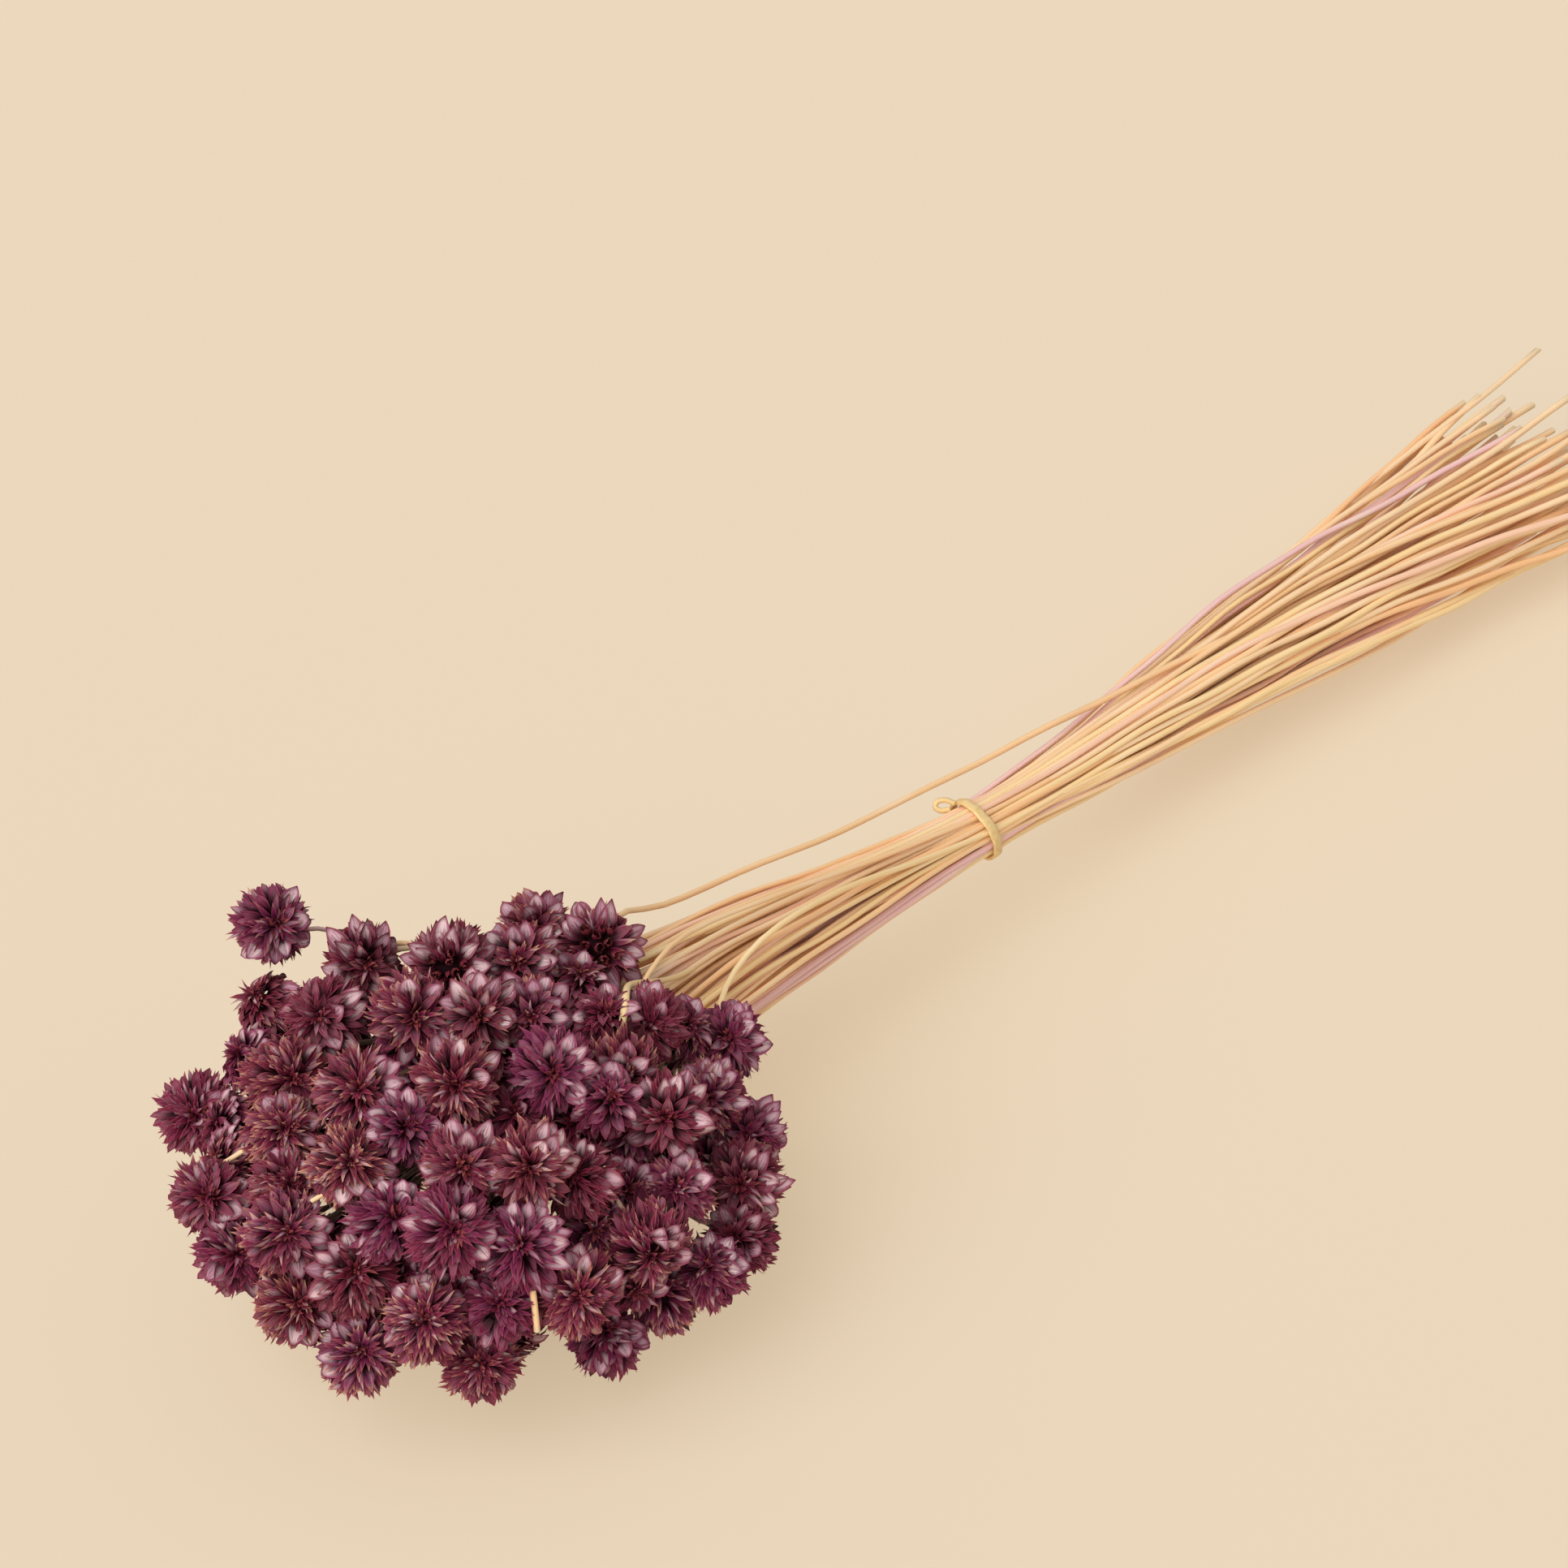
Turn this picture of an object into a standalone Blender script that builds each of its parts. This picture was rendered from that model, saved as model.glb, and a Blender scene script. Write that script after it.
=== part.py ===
"""A market bunch of dried flowers, dyed lilac, that lies on its side, held by one rubber band.

+X runs along the stems to their cut ends, +Z is up, and the bunch rests on the plane Z = 0. The
origin is under the middle of the bunch's box. Every flowering stem is one papery head on one thin
stem: the heads come singly or as two neighbours in one piece, and all the stems are one piece,
because they press together where the band holds them.
"""
import math
import random
from itertools import combinations

import bmesh
import bpy
import numpy as np
from mathutils import Matrix, Vector

# The mass of flowers: an egg shape whose surface the outermost bracts reach
HEADS_X = -0.2249
HEADS_Y = -0.0026
HEADS_MIDDLE = np.array([HEADS_X, HEADS_Y, 0.044])
HEADS_REACH = np.array([0.070, 0.068, 0.048])
HEAD_INSET = 0.007
LOWEST_HEAD = 0.0058
SETTLES_BELOW = 0.0165
HIDDEN_HEAD_WIDTH = (0.0165, 0.0190)
HIDDEN_TRIES = 420
HIDDEN_SPACING = 0.0174
HIDDEN_LIMIT = 0.70
THROAT_OPENING = 0.027
THROAT_STARTS = 0.020
AWAY_SHARE = 0.35
OUT_SHARE = 0.5

# How the heads share the room between them
CLOSEST = 0.80
SPREAD_STEPS = 40
SIGHT_PULL = 0.35
TOUCH_GAP = 0.00030

# The stems, by their distance along X from the middle of the flowers
STEM_RADII = ((0.000, 0.00064), (0.100, 0.00064), (0.190, 0.00052), (0.335, 0.00074), (0.486, 0.00090))
STEM_RADIUS_AT_HEAD = STEM_RADII[0][1]
STEM_RADIUS_AT_END = STEM_RADII[-1][1]
STEM_SIDES = 3
CORNER_SHARE = 1.15
NECK_LENGTH = 0.009
INNER_SHARE = 0.55
GATHER_SHARE = 0.20
GATHERED_AT = np.array([0.030, 0.008, 0.006])
THROAT_X = 0.085
THROAT_HALF_SIZE = (0.0170, 0.0155)
BAND_X = 0.190
BUNDLE_RADIUS = 0.0075
FLARE_X = 0.335
FLARE_HALF_SIZE = (0.0195, 0.0130)
END_X = (0.452, 0.492)
END_HALF_SIZE = (0.039, 0.0190)
LONG_END = (0.5205, 0.042, 0.030)
TWIST_TO_END = math.radians(55)
END_JITTER = 0.12
HEAD_CLEARANCE = 0.68
CLEARANCE_STEPS = 24
CLEARANCE_SHARE = 0.6
SWAP_ROUNDS = 12
FREE_SEGMENTS = (0, 1, 2, 3)
PARTING_STEPS = 20
PARTING_SHARE = 0.35
STEMS_APART = 0.0018

# The middle of the bundle: distance along X, to the side and height
AXIS = (
    (0.000, 0.000, 0.040),
    (0.085, 0.006, 0.0408),
    (0.190, 0.005, 0.031),
    (0.335, 0.008, 0.0250),
    (0.500, 0.010, 0.0200),
)

# Under the band the stems are pressed into one short plug
PLUG_RADIUS = 0.0084
PLUG_LENGTH = 0.0070
PLUG_SIDES = 18

# The stem that lies outside the band: distance along X, then its offset from the bundle's middle
LOOSE_HEAD = (737, 1168)
LOOSE_ROUTE = ((0.085, 0.0130, 0.0168), (0.140, 0.0127, 0.0123), (0.196, 0.0115, 0.0105))
LOOSE_OFFSET_FROM_TWIN = (0.0, 0.0004, 0.0005)

# Stems whose way the picture shows, by their flower: points in pixels, and how far behind the flower
GUIDED = {
    (332, 1138): ((392, 1144, 0.007), (512, 1164, 0.034)),
    (737, 1168): ((757, 1131, 0.012),),
    (765, 1312): ((762, 1233, 0.007), (772, 1216, 0.016), (846, 1196, 0.060)),
    (800, 1262): ((783, 1238, 0.012), (812, 1186, 0.024), (872, 1138, 0.046)),
    (893, 1285): ((882, 1258, 0.011), (906, 1203, 0.024), (952, 1143, 0.038)),
    (800, 1525): ((759, 1447, 0.004), (748, 1412, 0.024)),
}

# The rubber band
BAND_INNER_RADIUS = 0.0094
BAND_THICKNESS = 0.0010
BAND_WIDTH = 0.0030
BAND_STEPS = 32
BAND_LEAN = math.radians(14)
BAND_TURN = math.radians(-8)

# A head, in shares of its radius, from the middle of its face (0 degrees) round to its stem (180)
CELLS_ROUND = 8
CELLS_ROUND_INSIDE = 7
DEEP_FROM = 6
RING_ANGLES = (24, 54, 86, 118)
VALLEY_SHARE = (0.58, 0.66)
TIP_SHARE = (0.96, 1.12)
FACE_SHARE = 0.80
BASE_SHARE = 0.58
OUTER_BRACT_LEAN = 8
VALLEY_JITTER = 3
TIP_JITTER = 6
TIP_TURN = 0.75
TIP_TURN_JITTER = 0.12
NARROWEST = 0.0003
LINK_DEPTH = 0.30
LINK_ROOM = 0.0030
LINK_SAMPLES = 9
PRESSED_DEPTH = 0.0020
ROOM_FOR_STEM = 1.2

MOST_HEAD_PIECES = 58
SEED = 20
GOLDEN = math.pi * (3 - math.sqrt(5))

# The view that the flowers' places are read from: a square picture, its lens and where it stands
PICTURE_PIXELS = 1932
LENS_TO_SENSOR = 80 / 36
VIEW_TILT = math.radians(36)
VIEW_TURN = math.radians(-47)
EYE = np.array([HEADS_X - 0.3953, HEADS_Y - 0.4702, 0.5925])

# Where a flower faces, as right, up and near in the picture. Most face straight out of the bunch.
OUT = None
LEFT = (-1.0, 0.1, 0.3)
LOWER_LEFT = (-0.7, -0.6, 0.5)
DOWN = (0.0, -1.0, 0.5)
LOWER_RIGHT = (0.7, -0.6, 0.5)
TOWARD = (0.0, 0.1, 1.0)

# Each flower that the picture shows: its middle in pixels, its width and how deep it sits under
# the outermost ones in millimetres, and where it faces
SEEN = (
    (332, 1138, 19.0, 0, LEFT), (445, 1180, 17.0, 0, LOWER_LEFT), (335, 1243, 16.5, 2, OUT),
    (400, 1250, 18.5, 0, OUT), (315, 1310, 16.0, 4, OUT), (350, 1327, 19.0, 0, OUT),
    (440, 1350, 20.0, 0, LOWER_LEFT), (507, 1248, 19.5, 0, OUT), (562, 1335, 20.0, 0, OUT),
    (243, 1372, 19.5, 0, LEFT), (555, 1185, 19.0, 0, TOWARD), (590, 1250, 17.5, 2, OUT),
    (346, 1402, 17.5, 0, OUT), (490, 1395, 16.5, 2, LOWER_LEFT), (290, 1390, 16.0, 8, OUT),
    (641, 1181, 17.5, 1, TOWARD), (658, 1141, 17.0, 2, TOWARD), (737, 1168, 20.5, 0, TOWARD),
    (655, 1248, 17.0, 3, OUT), (711, 1222, 16.5, 8, OUT), (743, 1263, 16.5, 3, OUT),
    (800, 1262, 17.5, 2, OUT), (765, 1312, 17.5, 1, DOWN), (680, 1318, 20.0, 0, OUT),
    (893, 1285, 19.0, 0, OUT), (835, 1275, 16.0, 2, OUT), (822, 1372, 19.0, 1, OUT),
    (877, 1351, 17.0, 2, OUT), (925, 1398, 16.5, 2, OUT), (768, 1401, 16.5, 10, OUT),
    (745, 1360, 16.0, 8, OUT), (651, 1437, 19.0, 0, OUT), (573, 1435, 19.0, 0, OUT),
    (258, 1475, 17.5, 0, LEFT), (290, 1435, 16.0, 6, OUT), (349, 1455, 17.0, 2, OUT),
    (431, 1437, 18.5, 0, OUT), (348, 1516, 19.0, 0, OUT), (289, 1545, 18.0, 1, OUT),
    (479, 1510, 18.5, 1, OUT), (553, 1515, 20.5, 0, OUT), (438, 1570, 19.5, 0, OUT),
    (364, 1609, 18.5, 0, OUT), (443, 1666, 19.0, 0, OUT), (524, 1628, 19.0, 0, OUT),
    (592, 1681, 17.5, 0, DOWN), (615, 1612, 17.0, 3, OUT), (560, 1590, 16.0, 8, OUT),
    (642, 1540, 20.0, 0, OUT), (717, 1455, 17.5, 5, OUT), (729, 1510, 16.0, 9, OUT),
    (800, 1525, 19.5, 0, LOWER_RIGHT), (835, 1466, 16.5, 4, OUT), (860, 1425, 16.0, 8, OUT),
    (916, 1455, 19.0, 0, OUT), (915, 1525, 17.0, 1, OUT), (877, 1568, 16.5, 2, OUT),
    (818, 1599, 17.5, 1, OUT), (712, 1592, 19.5, 0, OUT), (745, 1650, 17.5, 1, LOWER_RIGHT),
    (614, 1302, 16.0, 12, OUT), (634, 1380, 16.0, 13, OUT), (704, 1392, 15.5, 15, OUT),
    (500, 1302, 15.5, 13, OUT), (763, 1466, 15.5, 13, OUT), (503, 1568, 15.0, 12, OUT),
    (772, 1575, 16.5, 6, OUT),
)


def unit(vector):
    """The vector at length 1."""
    return vector / np.linalg.norm(vector)


def view_axes():
    """The picture's right, up and near directions."""
    right = np.array([math.cos(VIEW_TURN), math.sin(VIEW_TURN), 0.0])
    flat = math.cos(VIEW_TILT)
    near = np.array([math.sin(VIEW_TURN) * flat, -math.cos(VIEW_TURN) * flat, math.sin(VIEW_TILT)])
    return right, np.cross(near, right), near


RIGHT, UP, NEAR = view_axes()


def sight(x, y):
    """The direction from the eye through a pixel of the picture."""
    scale = LENS_TO_SENSOR * PICTURE_PIXELS
    middle = PICTURE_PIXELS / 2
    return (x - middle) / scale * RIGHT - (y - middle) / scale * UP - NEAR


def axis_at(x):
    """The middle of the bundle of stems at a distance along X from the flowers' middle."""
    stations = [station for station, _, _ in AXIS]
    side = np.interp(x, stations, [side for _, side, _ in AXIS])
    height = np.interp(x, stations, [height for _, _, height in AXIS])
    return np.array([HEADS_X + x, HEADS_Y + side, height])


def place_seen(x, y, inset):
    """Where a pixel's line of sight meets the egg shape, or comes nearest to it."""
    reach = HEADS_REACH - inset
    start = (EYE - HEADS_MIDDLE) / reach
    line = sight(x, y) / reach
    along = -(start @ line) / (line @ line)
    off = np.sum((start + along * line) ** 2)
    if off < 1:
        along -= math.sqrt((1 - off) / (line @ line))
    return EYE + along * sight(x, y)


def faces_out(place):
    """Straight out of the egg shape, turned a little away from where the stems come in."""
    outward = unit((place - HEADS_MIDDLE) / HEADS_REACH ** 2)
    throat = axis_at(THROAT_X)
    return unit(outward + AWAY_SHARE * unit(place - throat))


def seen_flowers():
    """The flowers that the picture shows."""
    flowers = []
    for x, y, width, sunk, facing in SEEN:
        place = place_seen(x, y, HEAD_INSET + sunk / 1000)
        face = faces_out(place)
        if facing is not OUT:
            turned = facing[0] * RIGHT + facing[1] * UP + facing[2] * NEAR
            face = unit(unit(turned) + OUT_SHARE * face)
        flower = {"place": place, "radius": width / 2000, "face": face, "pixel": (x, y), "sunk": sunk}
        flowers.append(flower)
    return flowers


def settled(height):
    """The height of a head: the lowest ones are pressed down on the surface."""
    return LOWEST_HEAD if height < SETTLES_BELOW else height


def inside_outline(place):
    """The place, moved square to the view until it lies well inside the outline that the picture shows."""
    line = unit(NEAR / HEADS_REACH)
    off = (place - HEADS_MIDDLE) / HEADS_REACH
    across = off - (off @ line) * line
    size = np.linalg.norm(across)
    if size > HIDDEN_LIMIT:
        off = off - across * (1 - HIDDEN_LIMIT / size)
    return HEADS_MIDDLE + off * HEADS_REACH


def hidden_flowers(seen, dice):
    """Flowers on the sides that the picture doesn't show, spaced like the others."""
    flowers = []
    for k in range(HIDDEN_TRIES):
        height = 1 - 2 * (k + 0.5) / HIDDEN_TRIES
        flat = math.sqrt(1 - height * height)
        way = np.array([flat * math.cos(k * GOLDEN), flat * math.sin(k * GOLDEN), height])
        inset = HEAD_INSET + dice.uniform(0.0, 0.003)
        place = HEADS_MIDDLE + way * (HEADS_REACH - inset)
        place = inside_outline(place)
        place[2] = settled(place[2])
        off_axis = np.linalg.norm((place - axis_at(place[0] - HEADS_X))[1:])
        if place[0] > HEADS_X + THROAT_STARTS and off_axis < THROAT_OPENING:
            continue
        others = [f["place"] for f in seen + flowers]
        if min(np.linalg.norm(place - other) for other in others) < HIDDEN_SPACING:
            continue
        radius = dice.uniform(*HIDDEN_HEAD_WIDTH) / 2
        flower = {"place": place, "radius": radius, "face": faces_out(place), "pixel": None, "sunk": 0}
        flowers.append(flower)
    return flowers


def spread(flowers):
    """Moves heads that are too close apart, and holds each seen one on its line of sight."""
    for _ in range(SPREAD_STEPS):
        for one, other in combinations(flowers, 2):
            apart = other["place"] - one["place"]
            distance = np.linalg.norm(apart)
            room = CLOSEST * (one["radius"] + other["radius"])
            if distance < room:
                push = apart / distance * (room - distance) / 2
                one["place"] = one["place"] - push
                other["place"] = other["place"] + push
        for flower in flowers:
            place = flower["place"]
            if flower["pixel"]:
                line = unit(sight(*flower["pixel"]))
                on_line = EYE + line * ((place - EYE) @ line)
                place = place + SIGHT_PULL * (on_line - place)
            else:
                place = inside_outline(place)
                place[2] = settled(place[2])
            flower["place"] = place


def bundle_slots(flowers):
    """Gives each stem its slot in the round bundle, so that neighbours stay neighbours."""
    count = len(flowers)
    entry = axis_at(THROAT_X)
    spans = []
    for flower in flowers:
        way = unit(flower["place"] - entry)
        spans.append(math.acos(max(-1.0, min(1.0, -way[0]))))
    order = np.argsort(np.argsort(spans))
    wanted = []
    for flower, rank in zip(flowers, order):
        off = flower["place"] - entry
        turn = math.atan2(off[2], off[1])
        radius = math.sqrt((rank + 0.5) / count)
        wanted.append(np.array([radius * math.cos(turn), radius * math.sin(turn)]))
    slots = []
    for k in range(count):
        radius = math.sqrt((k + 0.5) / count)
        slots.append(np.array([radius * math.cos(k * GOLDEN), radius * math.sin(k * GOLDEN)]))
    free = list(range(count))
    given = [0] * count
    for k in reversed(range(count)):
        nearest = min(free, key=lambda i: np.linalg.norm(wanted[i] - slots[k]))
        given[nearest] = k
        free.remove(nearest)
    for _ in range(SWAP_ROUNDS):
        for i, j in combinations(range(count), 2):
            change = (wanted[i] - wanted[j]) @ (slots[given[i]] - slots[given[j]])
            if change < 0:
                given[i], given[j] = given[j], given[i]
    for flower, k in zip(flowers, given):
        flower["slot"] = slots[k]


def stem_route(flower, dice):
    """The points of one stem, from the base of its head to its cut end."""
    slot = flower["slot"]
    base = flower["place"] - flower["face"] * (BASE_SHARE * flower["radius"] + TOUCH_GAP)
    neck = base - flower["face"] * NECK_LENGTH

    def across(x, half_side, half_height, turned=0.0):
        side = slot[0] * math.cos(turned) - slot[1] * math.sin(turned)
        height = slot[0] * math.sin(turned) + slot[1] * math.cos(turned)
        return axis_at(x) + np.array([0.0, side * half_side, height * half_height])

    throat = across(THROAT_X, *THROAT_HALF_SIZE)
    inner = neck + INNER_SHARE * (throat - neck)
    inner = inner + GATHER_SHARE * (HEADS_MIDDLE + GATHERED_AT - inner)
    points = [base, neck, inner, throat]
    points.append(across(BAND_X, BUNDLE_RADIUS, BUNDLE_RADIUS))
    points.append(across(FLARE_X, *FLARE_HALF_SIZE, TWIST_TO_END / 2))
    end = across(dice.uniform(*END_X), *END_HALF_SIZE, TWIST_TO_END)
    end[1] += dice.uniform(-1, 1) * END_JITTER * END_HALF_SIZE[0]
    end[2] += dice.uniform(-1, 1) * END_JITTER * END_HALF_SIZE[1]
    points.append(end)
    for point in points:
        point[2] = max(point[2], STEM_RADIUS_AT_END)
    return points


def guide(flowers):
    """Leads the stems whose way the picture shows."""
    for flower in flowers:
        for k, (x, y, behind) in enumerate(GUIDED.get(flower["pixel"], ()), 1):
            distance = (EYE - flower["place"]) @ NEAR + behind
            flower["route"][k] = EYE + distance * sight(x, y)


def loosen(flowers):
    """Leads one stem outside the band, until it joins its neighbour where the stems spread."""
    loose = next(f for f in flowers if f["pixel"] == LOOSE_HEAD)
    others = [f for f in flowers if f is not loose]
    twin = min(others, key=lambda f: np.linalg.norm(f["slot"] - loose["slot"]))
    outside = [axis_at(x) + np.array([0.0, side, up]) for x, side, up in LOOSE_ROUTE]
    joined = twin["route"][-2] + np.array(LOOSE_OFFSET_FROM_TWIN)
    loose["route"] = loose["route"][:2] + outside + [joined, loose["route"][-1]]


def lengthen(flowers):
    """Lets the uppermost cut end on the far side reach out past the others."""
    longest = max(flowers, key=lambda f: f["route"][-1][1] + f["route"][-1][2])
    longest["route"][-1] = np.array([HEADS_X, HEADS_Y, 0.0]) + LONG_END


def nearest_on(start, stop, places):
    """The points of a segment that are nearest to each of many places."""
    line = stop - start
    share = np.clip((places - start) @ line / (line @ line), 0.0, 1.0)
    return start + share[:, None] * line


def clear_of_heads(flowers):
    """Bends the stems' inner points away from the other heads."""
    places = np.array([f["place"] for f in flowers])
    rooms = np.array([HEAD_CLEARANCE * f["radius"] for f in flowers]) + STEM_RADIUS_AT_HEAD + TOUCH_GAP
    for index, flower in enumerate(flowers):
        route = flower["route"]
        others = np.arange(len(places)) != index
        for _ in range(CLEARANCE_STEPS):
            for first, second in ((0, 1), (1, 2), (2, 3), (3, 4)):
                found = nearest_on(route[first], route[second], places[others])
                off = found - places[others]
                distance = np.linalg.norm(off, axis=1)
                short = np.maximum(rooms[others] - distance, 0.0)
                if not short.any():
                    continue
                push = (off / distance[:, None] * short[:, None]).sum(axis=0)
                for end in (first, second):
                    if end in (1, 2, 3):
                        route[end] = route[end] + CLEARANCE_SHARE * push
                        route[end][2] = max(route[end][2], STEM_RADIUS_AT_END * 2)


def part_stems(flowers):
    """Bends crossing stems apart between their heads and the throat."""
    count = len(flowers)
    row, column = np.triu_indices(count * len(FREE_SEGMENTS), 1)
    owner = np.repeat(np.arange(count), len(FREE_SEGMENTS))
    differ = owner[row] != owner[column]
    row, column = row[differ], column[differ]
    for _ in range(PARTING_STEPS):
        routes = np.array([flower["route"][:5] for flower in flowers])
        starts = np.concatenate([routes[:, None, k] for k in FREE_SEGMENTS], axis=1).reshape(-1, 3)
        stops = np.concatenate([routes[:, None, k + 1] for k in FREE_SEGMENTS], axis=1).reshape(-1, 3)
        lines = stops - starts
        one, other = lines[row], lines[column]
        between = starts[row] - starts[column]
        aa, bb, ab = (np.einsum("ij,ij->i", p, q) for p, q in ((one, one), (other, other), (one, other)))
        ac, bc = (np.einsum("ij,ij->i", p, between) for p in (one, other))
        s = np.clip((ab * bc - bb * ac) / np.maximum(aa * bb - ab * ab, 1e-14), 0.0, 1.0)
        t = np.clip((ab * s + bc) / bb, 0.0, 1.0)
        s = np.clip((ab * t - ac) / aa, 0.0, 1.0)
        off = between + s[:, None] * one - t[:, None] * other
        distance = np.linalg.norm(off, axis=1)
        close = np.nonzero(distance < STEMS_APART)[0]
        moves = np.zeros_like(routes)
        for k in close:
            side = off[k] / max(distance[k], 1e-7)
            push = side * (STEMS_APART - distance[k]) * PARTING_SHARE
            for segment, share, sign in ((row[k], s[k], 1), (column[k], t[k], -1)):
                stem, first = divmod(segment, len(FREE_SEGMENTS))
                moves[stem, first] += sign * push * (1 - share)
                moves[stem, first + 1] += sign * push * share
        for flower, move in zip(flowers, moves):
            for k in (1, 2, 3):
                flower["route"][k] = flower["route"][k] + move[k]
                flower["route"][k][2] = max(flower["route"][k][2], STEM_RADIUS_AT_END * 2)


def link_is_clear(one, other, flowers):
    """Whether no stem comes near the line between the middles of two heads."""
    shares = np.linspace(0.0, 1.0, LINK_SAMPLES)[:, None]
    line = one["place"] + shares * (other["place"] - one["place"])
    for flower in flowers:
        route = flower["route"]
        for k in FREE_SEGMENTS:
            found = nearest_on(route[k], route[k + 1], line)
            if np.linalg.norm(found - line, axis=1).min() < LINK_ROOM:
                return False
    return True


def pair_up(flowers):
    """Joins the nearest neighbours in pairs until the heads fit the number of pieces."""
    gaps = []
    for i, j in combinations(range(len(flowers)), 2):
        gap = np.linalg.norm(flowers[i]["place"] - flowers[j]["place"])
        gaps.append((gap / (flowers[i]["radius"] + flowers[j]["radius"]), i, j))
    pairs = []
    taken = set()
    for _, i, j in sorted(gaps):
        if len(flowers) - len(pairs) <= MOST_HEAD_PIECES:
            break
        if i in taken or j in taken or not link_is_clear(flowers[i], flowers[j], flowers):
            continue
        taken.update((i, j))
        pairs.append((i, j))
    single = [(i,) for i in range(len(flowers)) if i not in taken]
    return sorted(pairs + single)


def lay_out():
    """Every flower with its place, its face, its stem's route and the piece that it belongs to."""
    dice = random.Random(SEED)
    flowers = seen_flowers()
    flowers += hidden_flowers(flowers, dice)
    spread(flowers)
    bundle_slots(flowers)
    for flower in flowers:
        flower["route"] = stem_route(flower, dice)
    guide(flowers)
    loosen(flowers)
    lengthen(flowers)
    for _ in range(2):
        part_stems(flowers)
        clear_of_heads(flowers)
    return flowers, pair_up(flowers)


def stem_radius(route, k):
    """A stem's radius at one of its points: pressed thin at the band, thickest at the cut end."""
    stations = [station for station, _ in STEM_RADII]
    return float(np.interp(route[k][0] - HEADS_X, stations, [radius for _, radius in STEM_RADII]))


def cell_walls(index, flowers):
    """The planes that a head keeps behind, as (direction, distance from its middle)."""
    flower = flowers[index]
    place = flower["place"]
    walls = [(np.array([0.0, 0.0, -1.0]), place[2] + PRESSED_DEPTH)]
    for other in flowers:
        if other is not flower:
            apart = other["place"] - place
            distance = np.linalg.norm(apart)
            share = flower["radius"] / (flower["radius"] + other["radius"])
            walls.append((apart / distance, distance * share - TOUCH_GAP / 2))
        route = other["route"]
        for k in FREE_SEGMENTS:
            found = nearest_on(route[k], route[k + 1], place[None])[0]
            off = np.linalg.norm(found - place)
            own_base = other is flower and np.allclose(found, route[0])
            if off < 2 * flower["radius"] and not own_base:
                room = off - ROOM_FOR_STEM * stem_radius(route, k + 1) - TOUCH_GAP
                walls.append((unit(found - place), room))
    return walls


def held_back(ray, walls):
    """A ray from a head's middle, shortened where it would pass one of the head's walls."""
    share = 1.0
    for direction, distance in walls:
        reach = ray @ direction
        if reach > distance:
            share = min(share, max(distance, NARROWEST) / reach)
    return ray * share


def head_frame(face, spin):
    """Two directions across a face, turned by spin."""
    helper = np.array([0.0, 0.0, 1.0]) if abs(face[2]) < 0.9 else np.array([1.0, 0.0, 0.0])
    side = unit(np.cross(helper, face))
    over = np.cross(face, side)
    return (math.cos(spin) * side + math.sin(spin) * over, math.cos(spin) * over - math.sin(spin) * side)


def head_mesh(index, flowers, partner=None):
    """One head: rings of bracts, each raised to a point, round a smaller core."""
    flower = flowers[index]
    dice = random.Random(SEED + 100 + index)
    radius = flower["radius"]
    face = flower["face"]
    side, over = head_frame(face, dice.uniform(0, math.tau))
    walls = cell_walls(index, flowers)
    outermost = flower["pixel"] and flower["sunk"] < DEEP_FROM
    cells = CELLS_ROUND if outermost else CELLS_ROUND_INSIDE
    bm = bmesh.new()

    def way(angle, turn):
        flat = math.sin(angle)
        return face * math.cos(angle) + (side * math.cos(turn) + over * math.sin(turn)) * flat

    def vertex(ray):
        return bm.verts.new(flower["place"] + held_back(ray, walls))

    step = math.tau / cells
    rings = []
    for ring, degrees in enumerate(RING_ANGLES):
        row = []
        for k in range(cells):
            angle = math.radians(degrees + dice.uniform(-VALLEY_JITTER, VALLEY_JITTER))
            turn = (k + ring / 2) * step
            row.append(vertex(way(angle, turn) * radius * dice.uniform(*VALLEY_SHARE)))
        rings.append(row)
    tips = []
    for ring in range(len(rings) - 1):
        middle = (RING_ANGLES[ring] + RING_ANGLES[ring + 1]) / 2
        lean = OUTER_BRACT_LEAN * ring
        for k in range(cells):
            angle = math.radians(middle + lean + dice.uniform(-TIP_JITTER, TIP_JITTER))
            turn = (k + ring / 2 + TIP_TURN) * step + dice.uniform(-TIP_TURN_JITTER, TIP_TURN_JITTER)
            tip = vertex(way(angle, turn) * radius * dice.uniform(*TIP_SHARE))
            tips.append(tip)
            low, high = rings[ring], rings[ring + 1]
            after = (k + 1) % cells
            corners = (low[k], high[k], high[after], low[after])
            for a, b in zip(corners, corners[1:] + corners[:1]):
                bm.faces.new((a, b, tip))
    top = vertex(face * radius * FACE_SHARE)
    bottom = vertex(-face * radius * BASE_SHARE)
    for k in range(cells):
        after = (k + 1) % cells
        bm.faces.new((top, rings[0][k], rings[0][after]))
        bm.faces.new((bottom, rings[-1][after], rings[-1][k]))
    if partner is not None:
        reach = flowers[partner]["place"] - flower["place"]
        distance = np.linalg.norm(reach)
        towards = Vector(reach / distance)
        middle = Vector(flower["place"])
        tip = max(tips, key=lambda v: (v.co - middle).normalized().dot(towards))
        depth = LINK_DEPTH * flowers[partner]["radius"]
        tip.co = middle + towards * (distance - depth)
    bmesh.ops.recalc_face_normals(bm, faces=bm.faces)
    press_flat(bm)
    return bm


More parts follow.
